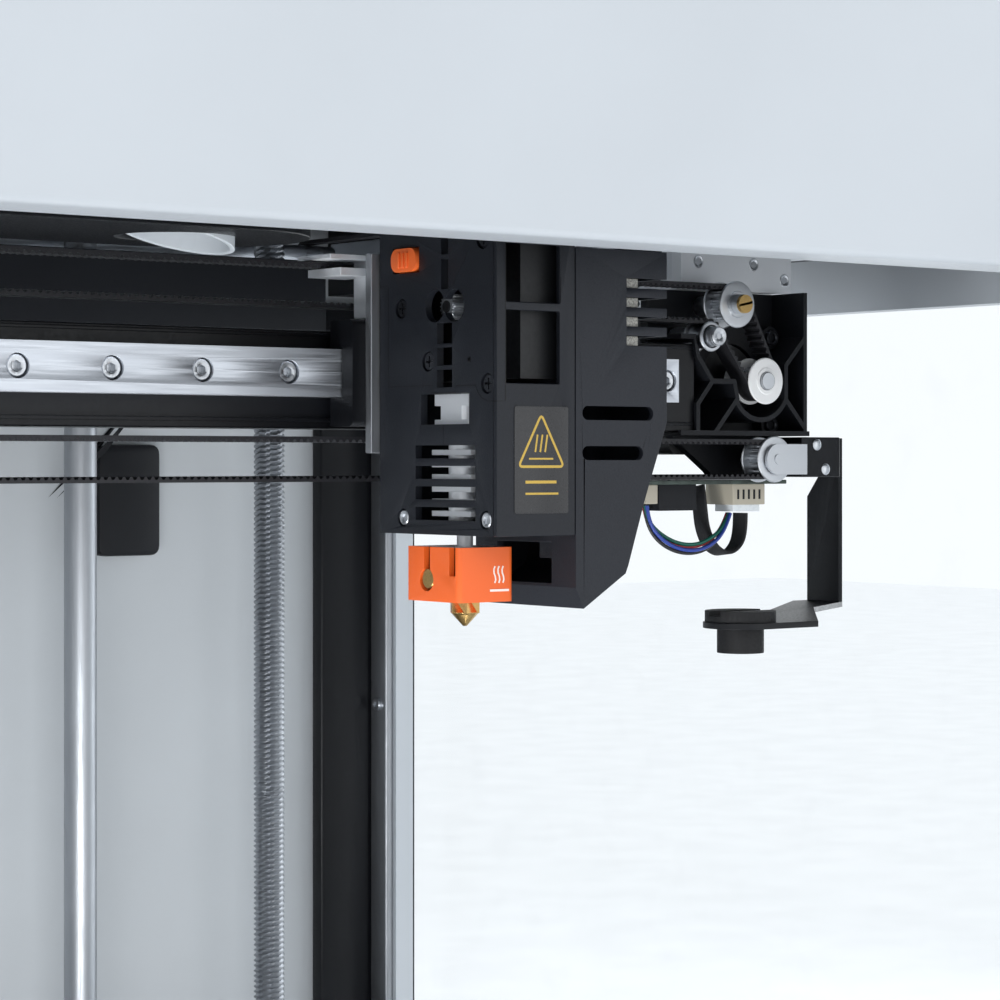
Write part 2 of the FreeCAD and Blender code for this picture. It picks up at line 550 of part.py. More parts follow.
def ribs(points, y0, y1):
    """Upright ribs of one thickness that follow a chain of points."""
    walls = []
    for (xa, za), (xb, zb) in zip(points, points[1:]):
        run = math.hypot(xb - xa, zb - za)
        wall = block(0, run, y0, y1, -RIB / 2, RIB / 2)
        wall = wall.fuse(rod_y(0, y0, y1, 0, RIB / 2)).fuse(rod_y(run, y0, y1, 0, RIB / 2))
        wall.rotate(vec(0, 0, 0), vec(0, 1, 0), -math.degrees(math.atan2(zb - za, xb - xa)))
        wall.translate(vec(xa, 0, za))
        walls.append(wall)
    return joined(walls)


def end_brackets():
    x0, x1 = END_INNER, END_OUTER
    z0, z1 = RAIL_Z - 15.0, RAIL_Z + 27.0
    px, pz = MOTOR_PULLEY
    hex_x, hex_z = x0 + 6.5, RAIL_Z + 0.5
    lug = z0 - 11.3
    web = plate_xz([(x0, z0), (x0 + 9, z0), (x0 + 23.6, lug + 1), (x0 + 24.6, lug),
                    (x1, lug), (x1, z1), (x0, z1)], WEB_FRONT, WEB_BACK)
    front = BELT_Y - 2.5
    wall = block(x1 - RIB, x1, RIB_FRONT, WEB_FRONT, z0, z1)
    floor = block(x0, x1, front, WEB_FRONT, z0, z0 + RIB)
    ring_r = 11.2
    ring = rod_y(px, RIB_FRONT, WEB_FRONT, pz, ring_r + RIB / 2)
    ring = ring.cut(rod_y(px, RIB_FRONT - 1, WEB_BACK, pz, ring_r - RIB / 2))
    ring = ring.common(block(px - 30, px + 30, RIB_FRONT - 1, WEB_BACK, pz - 30, pz - 5.0))
    ring_end = (px - 10.0, pz - 5.2)
    far_end = (px + 10.0, pz - 5.2)
    cells = ribs([(x0 - 3, hex_z + 12.5), (hex_x - 1, hex_z + 12.5), (hex_x, hex_z + 7), (hex_x + 5.5, hex_z),
                  (hex_x, hex_z - 6.5), (hex_x, z0 + 1)], front, WEB_FRONT)
    link = ribs([(hex_x + 5.5, hex_z), (ring_end[0] - 1.2, hex_z), ring_end], front, WEB_FRONT)
    strut = ribs([ring_end, (ring_end[0] - 8.5, z0 + 1)], front, WEB_FRONT)
    far_strut = ribs([(x1 - 1, z1 - 13.5), (far_end[0], far_end[1] + 10.0), far_end, (x1 - 1, z0 + 2.5)],
                     RIB_FRONT, WEB_FRONT)
    keep = block(x0, x1, RIB_FRONT - 1, WEB_BACK + 1, lug, z1)
    bracket = joined([web, wall, floor, ring, cells, link, strut, far_strut]).common(keep)
    screw_places = ((x1 - 5.8, RAIL_Z + 13.9), (x1 - 6.0, z0 + 3.4))
    bosses = [rod_y(bx, WEB_FRONT - 4, WEB_FRONT, bz, 3.4) for bx, bz in screw_places]
    holes = [rod_y(bx, WEB_FRONT - 5, WEB_BACK + 1, bz, 1.7) for bx, bz in screw_places]
    clear_motor = rod_y(px, WEB_FRONT - 0.01, WEB_BACK + 1, pz, 11.3)
    beam_end = block(-BEAM_HALF - GAP, BEAM_HALF + GAP, BEAM_FRONT - GAP, BEAM_BACK + GAP,
                     BEAM_LOW - GAP, BEAM_LOW + BEAM_HEIGHT + GAP)
    clear_idler = rod_y(RETURN_IDLER[0], RIB_FRONT - 1, WEB_FRONT, RETURN_IDLER[1], IDLER_RADIUS + 0.5)
    bracket = cut(joined([bracket] + bosses), holes + [clear_motor, clear_idler, beam_end])
    upper = axle_group([UPPER_PULLEY, RETURN_IDLER])
    node("end_bracket_right", bracket, *upper)

    left_web = plate_xz([(x0, z0), (x0 + 4, z0 - 28), (x1, z0 - 28), (x1, z1), (x0, z1)], WEB_FRONT, WEB_BACK)
    left_wall = block(x1 - RIB, x1, RIB_FRONT, WEB_FRONT, z0 - 28, z1)
    left_rib = ribs([(x0 + 2, z1 - 20), (x1 - 2, z1 - 28)], front + 8, WEB_FRONT)
    left = joined([left_web, left_wall, left_rib])
    lx, lz = LOWER_PULLEY
    clear_motor = rod_y(lx, WEB_FRONT - 1, WEB_BACK + 1, lz, 11.3)
    left = cut(left, [clear_motor, beam_end])
    upper_left = axle_group([UPPER_PULLEY])
    node("end_bracket_left", *[mirrored(s) for s in [left] + upper_left])

    plate_front = WEB_FRONT - 2.0
    low = z1 + GAP
    hidden = Y_RAIL_Z - 17.0
    block_y0 = WEB_BACK + 4.0
    block_y1 = block_y0 + 45.0
    top = Y_RAIL_Z + 12.0
    face = plate_xz([(x0 + 11, low), (x1 + 4.5, low), (x1 + 4.5, hidden), (Y_BLOCK_FACE, hidden),
                     (Y_BLOCK_FACE, top), (x0 + 11, top)], plate_front, plate_front + 4)
    shelf = block(x0 + 11, x1 + 4.5, plate_front, block_y1, low, low + 3)
    flange = block(Y_BLOCK_FACE - 4, Y_BLOCK_FACE, plate_front, block_y1, hidden, top)
    gusset = block(x1 + 0.5, x1 + 4.5, plate_front, block_y1, low, hidden + 4)
    web_top = block(x1 + 0.5, Y_BLOCK_FACE, plate_front, block_y1, hidden, hidden + 3)
    end_plate = joined([face, shelf, flange, gusset, web_top])
    belt_hole = block(Y_BELT_X - 6, Y_BELT_X + 6, plate_front - 1, plate_front + 5,
                      Y_RAIL_Z - 8, Y_RAIL_Z + 8)
    screws = [rod_y(sx, plate_front - 1, plate_front + 5, sz, 1.65)
              for sx, sz in ((x0 + 17.7, low + 8.5), (x1 - 10.6, low + 8.5), (x1 + 1.8, low + 4.3))]
    end_plate = cut(end_plate, [belt_hole] + screws)
    rider = placed(carriage(45.0), vec(Y_RAIL_FACE - RAIL_HEIGHT, (block_y0 + block_y1) / 2, Y_RAIL_Z),
                   vec(0, 0, 1), -90)
    node("end_plates", *both_sides([end_plate, rider]))

    motor_up = placed(motor(X_MOTOR_SHAFT), vec(px, WEB_BACK + GAP, pz), vec(1, 0, 0), 90)
    motor_left = placed(motor(X_MOTOR_SHAFT), vec(-lx, WEB_BACK + GAP, lz), vec(1, 0, 0), 90)
    node("x_motors", motor_up, motor_left)


def axle_group(places):
    """Fixed idler axles, each a stepped pin with a screw head in front of the wheel."""
    pins = []
    for x, z in places:
        pin = joined([rod_y(x, BELT_Y - 4.1, WEB_FRONT, z, 1.5), rod_y(x, BELT_Y - 6.3, BELT_Y - 4.1, z, 2.8),
                      rod_y(x, BELT_Y + 4.1, WEB_FRONT, z, 3.0)])
        pins.append(pin)
    return pins


def wheel(x, z, radius, bore, flange, y0, y1):
    core = rod_y(x, y0, y1, z, radius)
    if flange:
        core = core.fuse(rod_y(x, y0, y0 + 0.7, z, flange)).fuse(rod_y(x, y1 - 0.7, y1, z, flange))
    return core.cut(rod_y(x, y0 - 1, y1 + 1, z, bore)).removeSplitter()


def pulleys():
    y0, y1 = BELT_Y - 3.8, BELT_Y + 3.8
    root = PULLEY_RADIUS - BELT_THICKNESS / 2 - 0.15
    axle = 1.5 + RUNNING_CLEARANCE
    shaft = MOTOR_SHAFT_RADIUS + RUNNING_CLEARANCE
    node("right_upper_pulley", wheel(*UPPER_PULLEY, root, axle, FLANGE_RADIUS, y0, y1))
    node("right_return_idler", wheel(*RETURN_IDLER, IDLER_RADIUS - 0.75, axle, IDLER_RADIUS - 0.05, y0, y1))
    node("right_motor_pulley", wheel(*MOTOR_PULLEY, root, shaft, FLANGE_RADIUS, y0, y1 + 4.0))
    node("right_lower_pulley", wheel(*LOWER_PULLEY, root, axle, FLANGE_RADIUS, y0, y1))
    node("left_upper_pulley", mirrored(wheel(*UPPER_PULLEY, root, axle, FLANGE_RADIUS, y0, y1)))
    node("left_motor_pulley", mirrored(wheel(*LOWER_PULLEY, root, shaft, FLANGE_RADIUS, y0, y1 + 4.0)))


def strand(xa, za, xb, zb):
    """A straight run of belt between two points of its mid line."""
    run = math.hypot(xb - xa, zb - za)
    flat = block(0, run, BELT_Y - BELT_WIDTH / 2, BELT_Y + BELT_WIDTH / 2,
                 -BELT_THICKNESS / 2, BELT_THICKNESS / 2)
    flat.rotate(vec(0, 0, 0), vec(0, 1, 0), -math.degrees(math.atan2(zb - za, xb - xa)))
    flat.translate(vec(xa, 0, za))
    return flat


def wrap(centre, radius, start, end):
    """A belt's bend round a wheel, from one angle to another in degrees from +X towards +Z."""
    x, z = centre
    y0, y1 = BELT_Y - BELT_WIDTH / 2, BELT_Y + BELT_WIDTH / 2
    ring = rod_y(x, y0, y1, z, radius + BELT_THICKNESS / 2)
    ring = ring.cut(rod_y(x, y0 - 1, y1 + 1, z, radius - BELT_THICKNESS / 2))
    points = [(x, z)]
    steps = max(2, int(abs(end - start) / 45) + 1)
    for n in range(steps + 1):
        a = math.radians(start + (end - start) * n / steps)
        points.append((x + 30 * math.cos(a), z + 30 * math.sin(a)))
    return ring.common(plate_xz(points, y0 - 1, y1 + 1))


def on_wheel(centre, radius, angle):
    a = math.radians(angle)
    return (centre[0] + radius * math.cos(a), centre[1] + radius * math.sin(a))


def belts():
    r = PULLEY_RADIUS
    back_r = IDLER_RADIUS
    upper_left = (-UPPER_PULLEY[0], UPPER_PULLEY[1])
    p1, p2, p3 = UPPER_PULLEY, RETURN_IDLER, MOTOR_PULLEY
    lean = math.degrees(math.atan2(p3[1] - p1[1], p3[0] - p1[0]))
    side = lean + 90
    dx, dz = p2[0] - p3[0], p2[1] - p3[1]
    span = math.hypot(dx, dz)
    cross = math.degrees(math.acos((r + back_r) / span))
    toward = math.degrees(math.atan2(dz, dx))
    leave = toward + cross
    upper = [
        strand(upper_left[0], upper_left[1] + r, p1[0], p1[1] + r),
        wrap(p1, r, side, 90),
        strand(*on_wheel(p1, r, side), *on_wheel(p3, r, side)),
        wrap(p3, r, leave - 360, side),
        strand(*on_wheel(p3, r, leave), *on_wheel(p2, back_r, leave + 180)),
        wrap(p2, back_r, 90, leave - 180),
        strand(upper_left[0], upper_left[1] - r, p2[0], p2[1] + back_r),
        wrap(upper_left, r, 90, 270),
    ]
    right, left = LOWER_PULLEY, (-LOWER_PULLEY[0], LOWER_PULLEY[1])
    lower = [
        strand(left[0], left[1] + r, right[0], right[1] + r),
        wrap(right, r, -90, 90),
        strand(left[0], left[1] - r, right[0], right[1] - r),
        wrap(left, r, 90, 270),
    ]
    node("x_belts", joined(upper), joined(lower))


def gantry_ends():
    """Belt tensioner, nozzle parking arms, pads and the cable board."""
    lx, lz = LOWER_PULLEY
    ear_w = 4.4
    y_front, y_back = BELT_Y - 4.2, BELT_Y + 4.2
    ear_end = lx + 11.5
    ears = joined([block(lx, ear_end, y_front - 0.9, y_front, lz - ear_w, lz + ear_w),
                   rod_y(lx, y_front - 0.9, y_front, lz, ear_w),
                   block(lx, ear_end, y_back, y_back + 0.9, lz - ear_w, lz + ear_w),
                   rod_y(lx, y_back, y_back + 0.9, lz, ear_w),
                   block(ear_end - 0.9, ear_end, y_front - 0.9, y_back + 0.9, lz - ear_w, lz + ear_w)])
    pin = rod_y(lx, y_front - 1.2, y_back + 1.2, lz, 1.5)
    ears = ears.cut(rod_y(lx, y_front - 2, y_back + 2, lz, 1.5))
    carrier = block(ear_end + GAP, ear_end + 16.0, RIB_FRONT - 1, WEB_FRONT - GAP, RAIL_Z - 27, RAIL_Z - 15.3)
    made["end_bracket_right"] += [ears, pin, carrier]

    y0, y1 = BELT_Y + 12.3, BELT_Y + 26.0
    strip_x = END_OUTER + 26.5
    arms = []
    sheet = ARM_SHEET
    top_z = RAIL_Z - 15.4
    pad_low = PARK_Z - GAP - PAD_THICKNESS
    down = plate_yz([(y0, pad_low - sheet), (y1, pad_low - sheet), (y1, top_z - 17.8),
                     (y1 - 4.8, top_z - 11.7), (y1 - 4.8, top_z), (y0, top_z)], strip_x, strip_x + sheet)
    tab = block(END_OUTER, strip_x + sheet, y0, y0 + sheet, RAIL_Z - 27, top_z)
    ledge = plate_xy([(strip_x + sheet, y0), (strip_x + sheet, y1), (strip_x - 6, y1),
                      (PARK_X + 12, NOZZLE_Y + 10), (PARK_X, NOZZLE_Y + 10),
                      (PARK_X, NOZZLE_Y - 10), (PARK_X + 19, NOZZLE_Y - 10),
                      (strip_x - 27, y0 - 17)], pad_low - sheet, pad_low)
    ledge = joined([ledge, rod_z(PARK_X, NOZZLE_Y, pad_low - sheet, pad_low, 10.0)])
    plug_bore = rod_z(PARK_X, NOZZLE_Y, pad_low - 3, pad_low + 1, PAD_PLUG_RADIUS - 1.0)
    arm = joined([down, tab, ledge]).cut(plug_bore)
    node("parking_brackets", *both_sides([arm]))
    disc = rod_z(PARK_X, NOZZLE_Y, pad_low, PARK_Z - GAP, PAD_RADIUS)
    disc = disc.cut(block(PARK_X - 2 * PAD_RADIUS, PARK_X + 2 * PAD_RADIUS, NOZZLE_Y - PAD_CHANNEL / 2,
                          NOZZLE_Y + PAD_CHANNEL / 2, NOZZLE_Z - 2 * GAP, PARK_Z))
    neck = rod_z(PARK_X, NOZZLE_Y, pad_low - sheet, pad_low, PAD_PLUG_RADIUS - 1.1)
    plug = rod_z(PARK_X, NOZZLE_Y, pad_low - sheet - PAD_PLUG, pad_low - sheet, PAD_PLUG_RADIUS)
    node("parking_pads", *both_sides([joined([disc, neck, plug])]))

    bx0, bx1 = END_INNER - 5, END_OUTER - 2
    board_z = RAIL_Z - 29.0
    board_y0, board_y1 = BELT_Y + 5.0, BELT_Y + 36.0
    board = block(bx0, bx1, board_y0, board_y1, board_z, board_z + 1.2)
    black = block(bx0 + 5, bx0 + 19.3, board_y0 + 2, board_y0 + 10, board_z - 7.5, board_z)
    white = block(bx1 - 20.5, bx1 - 7.8, board_y0 + 1, board_y0 + 13, board_z - 6.0, board_z)
    latch = block(bx1 - 19.5, bx1 - 9, board_y0 + 2, board_y0 + 10, board_z - 8.0, board_z - 6.0)
    small = block(bx0 + 0.3, bx0 + 4.6, board_y0 + 2, board_y0 + 9, board_z - 5.5, board_z)
    node("gantry_board", board, black, white, latch, small)


def tube(points, radius):
    """A cord along straight runs joined by tangent arcs."""
    edges = []
    start = vec(*points[0])
    for before, at, after in zip(points, points[1:], points[2:]):
        before, at, after = vec(*before), vec(*at), vec(*after)
        run_in, run_out = at - before, after - at
        turn = run_in.getAngle(run_out)
        bend = 0.45 * min(run_in.Length, run_out.Length) / math.tan(turn / 2)
        reach = bend * math.tan(turn / 2)
        a = at - run_in.normalize() * reach
        b = at + run_out.normalize() * reach
        middle = (run_out - run_in).normalize()
        centre = at + middle * (bend / math.cos(turn / 2))
        mid = centre - middle * bend
        edges.append(Part.LineSegment(start, a).toShape())
        edges.append(Part.Arc(a, mid, b).toShape())
        start = b
    edges.append(Part.LineSegment(start, vec(*points[-1])).toShape())
    path = Part.Wire(edges)
    ring = Part.Wire(Part.Circle(vec(*points[0]), vec(*points[1]) - vec(*points[0]), radius).toShape())
    return path.makePipeShell([ring], True, False)


def board_wires():
    """The ribbon and the wire bundle that loop under the gantry's cable board."""
    bx0, bx1 = END_INNER - 5, END_OUTER - 2
    z, y = RAIL_Z - 29.0, BELT_Y + 5.0
    ribbon = [(bx1 - 13, y + 6, z - 8.5), (bx1 - 13, y + 6, z - 13.5), (bx1 - 15.2, y + 5.5, z - 18.3),
              (bx1 - 20.5, y + 5.0, z - 20.8), (bx1 - 25.9, y + 5.0, z - 18.3), (bx1 - 28, y + 6, z - 13.0),
              (bx1 - 28, y + 7.0, z - 6.5), (bx1 - 28, y + 8, z - 0.5)]
    bundle = [(bx0 + 2.5, y + 5, z - 6.0), (bx0 + 2.8, y + 4.6, z - 10.5), (bx0 + 6.5, y + 3.5, z - 15.2),
              (bx0 + 12.5, y + 2.2, z - 18.2), (bx0 + 19, y + 1.0, z - 18.5), (bx0 + 25.5, y + 1.0, z - 16.0),
              (bx0 + 30.5, y + 2.5, z - 12.2), (bx0 + 33.5, y + 4.0, z - 8.6)]
    node("board_wires", tube(ribbon, 1.6), tube(bundle, 1.1))


# ---------------------------------------------------------------- print heads
def head(side):
    """One print head, drawn with the nozzle on x = 0 and its inner side towards -X."""
    left, seam, right = -HEAD_LEFT, HEAD_COVER - HEAD_LEFT, HEAD_RIGHT
    front, back = NOZZLE_Y - HEAD_FRONT, NOZZLE_Y + HEAD_BACK
    z0, z1 = HEAD_BOTTOM, HEAD_TOP
    parts = {}
    face_drop = 1.5

    shell = block(left, seam, front, back, z0, z1)
    hollow = block(left + WALL, seam + 1, front - 1, back - WALL, z0 + WALL, z1 - WALL)
    shell = shell.cut(hollow)
    ny = NOZZLE_Y
    cuts = []

    def side_hole(y, z, radius):
        cuts.append(rod_x(left - 1, left + WALL + 1, y, z, radius))

    def side_slot(y0, y1, za, zb):
        cuts.append(block(left - 1, left + WALL + 1, y0, y1, za, zb))

    side_hole(ny + 3.5, z0 + 56.0, 4.0)
    side_hole(ny - 4.5, z0 + 55.8, 4.0)
    side_slot(ny - 4.2, ny + 0.6, z0 + 54.2, z0 + 57.6)
    for y, z in ((17.7, 56.0), (6.3, 42.5), (-17.7, 36.6), (-15.9, 71.3)):
        side_hole(ny + y, z0 + z, 2.5)
    for y, z in ((16.9, 4.0), (-18.0 + 1.0, 3.9)):
        side_hole(ny + y, z0 + z, 2.3)
    side_hole(ny - 10.5, z0 + 42.6, 0.8)
    side_slot(ny - 2.0, ny + 0.9, z0 + 68.5, z0 + 73.1)
    side_slot(ny - 2.0, ny + 0.9, z0 + 60.0, z0 + 67.4)
    side_slot(ny - 3.6, ny + 2.6, z0 + 46.7, z0 + 51.8)
    side_slot(ny - 3.6, ny + 2.6, z0 + 41.4, z0 + 45.8)
    side_slot(ny - 3.6, ny + 2.6, z0 + 36.0, z0 + 40.4)
    side_slot(ny - 10.5, ny + 9.3, z0 + 27.0, z0 + 34.5)
    for n in range(4):
        side_slot(ny - 13.0, ny + 11.6, z0 + 18.7 - 5.05 * n, z0 + 21.9 - 5.05 * n)
    side_slot(ny + 10.1, ny + 21.2, z0 + 64.7, z0 + 71.1)
    throat = rod_z(0, ny, z0 - 1, z0 + WALL + 1, 4.2)
    parts["head_cover"] = [cut(shell, cuts + [throat])]

    cover = block(left, seam, front - face_drop, front, z0, z1)
    window = block(left + 2.8, seam - 4.8, front - face_drop - 1, front + 1, z0 + 36.7, z0 + 70.2)
    bar = block(left + 2.8, seam - 4.8, front - face_drop, front, z0 + 54.2, z0 + 56.2)
    parts["head_front"] = [joined([cover.cut(window), bar])]

    x0, x1 = seam + 0.2, right
    top = z1 - 8.2
    outline = [(x0, top), (x1, top), (x1, z0 + 27.5), (x1 - 7.2, z0 + 8.4), (x1 - 12.5, z0 - 7.6),
               (x1 - 13.4, z0 - 9.7), (x1 - 26.8, z0 - 18.0), (x0, z0 - 12.8)]
    duct = plate_xz(outline, front - face_drop, back - 8)
    inner = plate_xz([(x0 + WALL, top - WALL), (x1 - WALL, top - WALL), (x1 - WALL, z0 + 27.8),
                      (x1 - 7.2 - WALL, z0 + 9), (x1 - 12.5 - WALL, z0 - 7.2), (x1 - 15.6, z0 - 8.6),
                      (x1 - 26.8, z0 - 15.6), (x0 + WALL, z0 - 12.0)], front, back - 8 - WALL)
    duct_cuts = [inner]
    for n in range(4):
        fz = z0 + 63.3 - 4.75 * n
        duct_cuts.append(block(x1 - 13.1, x1 + 1, front - face_drop - 1, front + 14, fz - 2.5, fz))
    for xa, xb, zc in ((21.4, 40.7, 29.8), (21.4, 37.4, 20.0)):
        duct_cuts.append(block(xa, xb, front - face_drop - 1, front + 1, z0 + zc - 1.7, z0 + zc + 1.7))
        duct_cuts.append(rod_y(xa, front - face_drop - 1, front + 1, z0 + zc, 1.7))
        duct_cuts.append(rod_y(xb, front - face_drop - 1, front + 1, z0 + zc, 1.7))
    mouth = block(x0 - 1, x0 + WALL + 1, ny - 12, ny + 10, z0 - 12, z0 - 2)
    duct_cuts.append(mouth)
    parts["head_duct"] = [cut(duct, duct_cuts)]

    fins = [rod_z(0, ny, z0 + WALL + 1.0, z0 + 28.0, 4.0)]
    for n in range(7):
        fins.append(rod_z(0, ny, z0 + 4.5 + 3.0 * n, z0 + 5.8 + 3.0 * n, 9.0))
    fins.append(rod_z(0, ny, z0 + 25.0, z0 + 28.2, 8.0))
    fins.append(rod_z(0, ny, z0 + 28.2, z0 + 31.6, 6.0))
    fins.append(rod_z(0, ny, z0 + 31.6, z0 + 34.4, 8.0))
    fins.append(rod_z(0, ny, z0 - 4.4, z0 + 4.5, 2.0))
    sink = joined(fins).common(block(-4.2, 10, ny - 12, ny + 12, z0 - 20, z1))

    sock_low, sock_high = NOZZLE_Z + 6.2, NOZZLE_Z + 19.5
    block_low = sock_low + SOCK_WALL
    heater = block(-7.4, 6.2, ny - 8.0, ny + 10.7, block_low + 0.1, sock_high)
    tip = Part.makeCone(0.5, 3.6, 3.4, vec(0, ny, NOZZLE_Z), vec(0, 0, 1))
    corners = [math.radians(60 * n) for n in range(6)]
    hexagon = [(3.9 * math.cos(a), ny + 3.9 * math.sin(a)) for a in corners]
    nut = plate_xy(hexagon, NOZZLE_Z + 3.2, block_low + 0.1)
    heater = heater.cut(rod_z(0, ny, z0 - 4.4, sock_high + 1, 2.0))
    parts["hotend"] = [sink, heater, joined([nut, tip])]

    outer = block(-9.0, 7.8, ny - 9.6, ny + 12.3, sock_low, sock_high)
    outer = rounded(outer, SOCK_WALL, vec(0, 0, 1))
    pocket = block(-7.5, 6.3, ny - 8.1, ny + 10.8, block_low, sock_high + 1)
    nozzle_hole = rod_z(0, ny, sock_low - 1, block_low + 1, 4.2)
    notches = [block(-10, -7, ny + a, ny + a + 2.5, sock_high - 6.9, sock_high + 1) for a in (-8.2, 2.2)]
    plug_hole = rod_x(-10, -7, ny + 3.6, sock_low + 5.2, 2.8)
    parts["hotend_sock"] = [cut(outer, [pocket, nozzle_hole, plug_hole] + notches)]

    by0, by1, bz0, bz1 = ny + 10.1 + GAP, ny + 21.2 - GAP, z0 + 64.7 + GAP, z0 + 71.1 - GAP
    cap = rounded(block(left - 0.9, left + WALL + 1.5, by0, by1, bz0, bz1), 2.4, vec(1, 0, 0))
    button_flange = block(left + WALL + GAP, left + WALL + 1.5, by0 - 1.2, by1 + 1.2, bz0 - 1.2, bz1 + 1.2)
    parts["release_button"] = [joined([cap, button_flange])]

    rider = carriage(CARRIAGE_LENGTH)
    rider.translate(vec(CARRIAGE_SHIFT, RAIL_FACE, RAIL_Z))
    mount_y = RAIL_FACE - (RAIL_ASSEMBLY - RAIL_HEIGHT)
    mount = block(-9.0, 25.0, back + GAP, mount_y, z0 + 20, z1 - 8)
    belt_z = UPPER_BELT_TOP if side == "right" else LOWER_BELT_TOP
    belt_half = BELT_THICKNESS / 2 + GAP
    clear_z = RAIL_Z + CARRIAGE_WIDTH / 2 + 0.6
    grip_front, grip_back = BELT_Y - BELT_WIDTH / 2 - 0.6, BELT_Y + 4.0
    top_arm = block(-17.6, -2.9, mount_y + 3, grip_back, belt_z + belt_half, belt_z + belt_half + 1.3)
    low_arm = block(-14.5, -2.9, mount_y + 3, grip_back, belt_z - belt_half - 2.0, belt_z - belt_half)
    foot_z = clear_z if side == "right" else belt_z - belt_half - 2.0
    upright = block(-5.4, -2.9, mount_y, grip_front, foot_z, belt_z + belt_half + 1.3)
    parts["head_carriage"] = [rider, mount, joined([upright, top_arm, low_arm])]

    gear_x0, gear_x1 = -3.2, 3.4
    stepper = block(4.0, seam - 0.5, ny - 17.0, ny + 24.0, z0 + 38.0, z0 + 76.0)
    shaft = rod_x(gear_x0, 4.0, ny + 3.5, z0 + 56.0, 1.5)
    parts["head_carriage"].append(joined([stepper, shaft]))
    gear = rod_x(gear_x0 + 0.2, gear_x1, ny + 3.5, z0 + 56.0, 3.2)
    gear = gear.cut(rod_x(gear_x0 - 1, gear_x1 + 1, ny + 3.5, z0 + 56.0, 1.5 + RUNNING_CLEARANCE))
    parts["extruder_gear"] = [gear]
    return parts


def heads():
    for side, rest in (("right", RIGHT_REST), ("left", LEFT_REST)):
        for name, shapes in head(side).items():
            if side == "left":
                shapes = [mirrored(s) for s in shapes]
            moved = []
            for shape in shapes:
                shape = shape.copy()
                shape.translate(vec(rest, 0, 0))
                moved.append(shape)
            node(name + "_" + side, *moved)


# ---------------------------------------------------------------- write out
base()
sides()
front_and_back()
top()
drives()
bed()
x_beam()
end_brackets()
pulleys()
belts()
gantry_ends()
board_wires()
heads()

os.makedirs("parts", exist_ok=True)
for name, shapes in made.items():
    solids = [solid for shape in shapes for solid in shape.Solids]
    for solid in solids:
        if not solid.isValid():
            print("not valid:", name)
    whole = solids[0] if len(solids) == 1 else Part.makeCompound(solids)
    whole.exportStep("parts/" + name + ".step")
print(len(made), "nodes")
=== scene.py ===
import bmesh
import bpy
import json
import math
from mathutils import Matrix, Vector


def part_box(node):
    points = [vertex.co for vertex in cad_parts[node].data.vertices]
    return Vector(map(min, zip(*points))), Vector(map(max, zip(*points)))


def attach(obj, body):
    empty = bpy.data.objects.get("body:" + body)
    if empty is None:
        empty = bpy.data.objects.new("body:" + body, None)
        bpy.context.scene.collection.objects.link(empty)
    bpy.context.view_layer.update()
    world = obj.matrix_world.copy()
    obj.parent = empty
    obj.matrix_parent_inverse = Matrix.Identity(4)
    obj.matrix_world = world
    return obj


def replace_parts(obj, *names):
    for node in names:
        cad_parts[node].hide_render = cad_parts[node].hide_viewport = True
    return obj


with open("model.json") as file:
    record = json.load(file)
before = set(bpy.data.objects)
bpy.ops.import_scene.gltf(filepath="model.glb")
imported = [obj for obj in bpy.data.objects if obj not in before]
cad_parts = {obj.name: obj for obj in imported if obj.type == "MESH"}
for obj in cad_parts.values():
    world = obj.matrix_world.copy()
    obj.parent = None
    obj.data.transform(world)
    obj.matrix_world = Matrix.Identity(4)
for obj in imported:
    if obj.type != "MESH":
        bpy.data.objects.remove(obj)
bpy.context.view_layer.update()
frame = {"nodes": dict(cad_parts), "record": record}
NODES = frame["nodes"]

MM = 0.001
SCENE = bpy.context.scene
RIGHT, FORWARD, BACKWARD, UP, DOWN = (1, 0, 0), (0, -1, 0), (0, 1, 0), (0, 0, 1), (0, 0, -1)


# ---------------------------------------------------------------- places taken from the frame
def low(node):
    return Vector(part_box(node)[0])


def high(node):
    return Vector(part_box(node)[1])


def middle(node):
    return (low(node) + high(node)) / 2


# ---------------------------------------------------------------- camera, light and floor
CAMERA_PLACE = (-0.3181, -0.715, 0.400)
CAMERA_TURN = 37.5
LENS_MM = 97.2
HORIZON_SHIFT = -0.04


def make_camera():
    camera = bpy.data.objects.new("camera", bpy.data.cameras.new("camera"))
    SCENE.collection.objects.link(camera)
    camera.location = CAMERA_PLACE
    camera.rotation_euler = (math.radians(90), 0, -math.radians(CAMERA_TURN))
    camera.data.lens = LENS_MM
    camera.data.sensor_width = 36
    camera.data.shift_y = HORIZON_SHIFT
    camera.data.clip_start = 0.01
    SCENE.camera = camera


def area_light(name, place, target, width, height, watts, colour=(1, 1, 1)):
    data = bpy.data.lights.new(name, "AREA")
    data.shape = "RECTANGLE"
    data.size = width
    data.size_y = height
    data.energy = watts
    data.color = colour
    lamp = bpy.data.objects.new(name, data)
    SCENE.collection.objects.link(lamp)
    lamp.location = place
    lamp.visible_camera = False
    lamp.rotation_euler = (Vector(target) - Vector(place)).to_track_quat("-Z", "Y").to_euler()


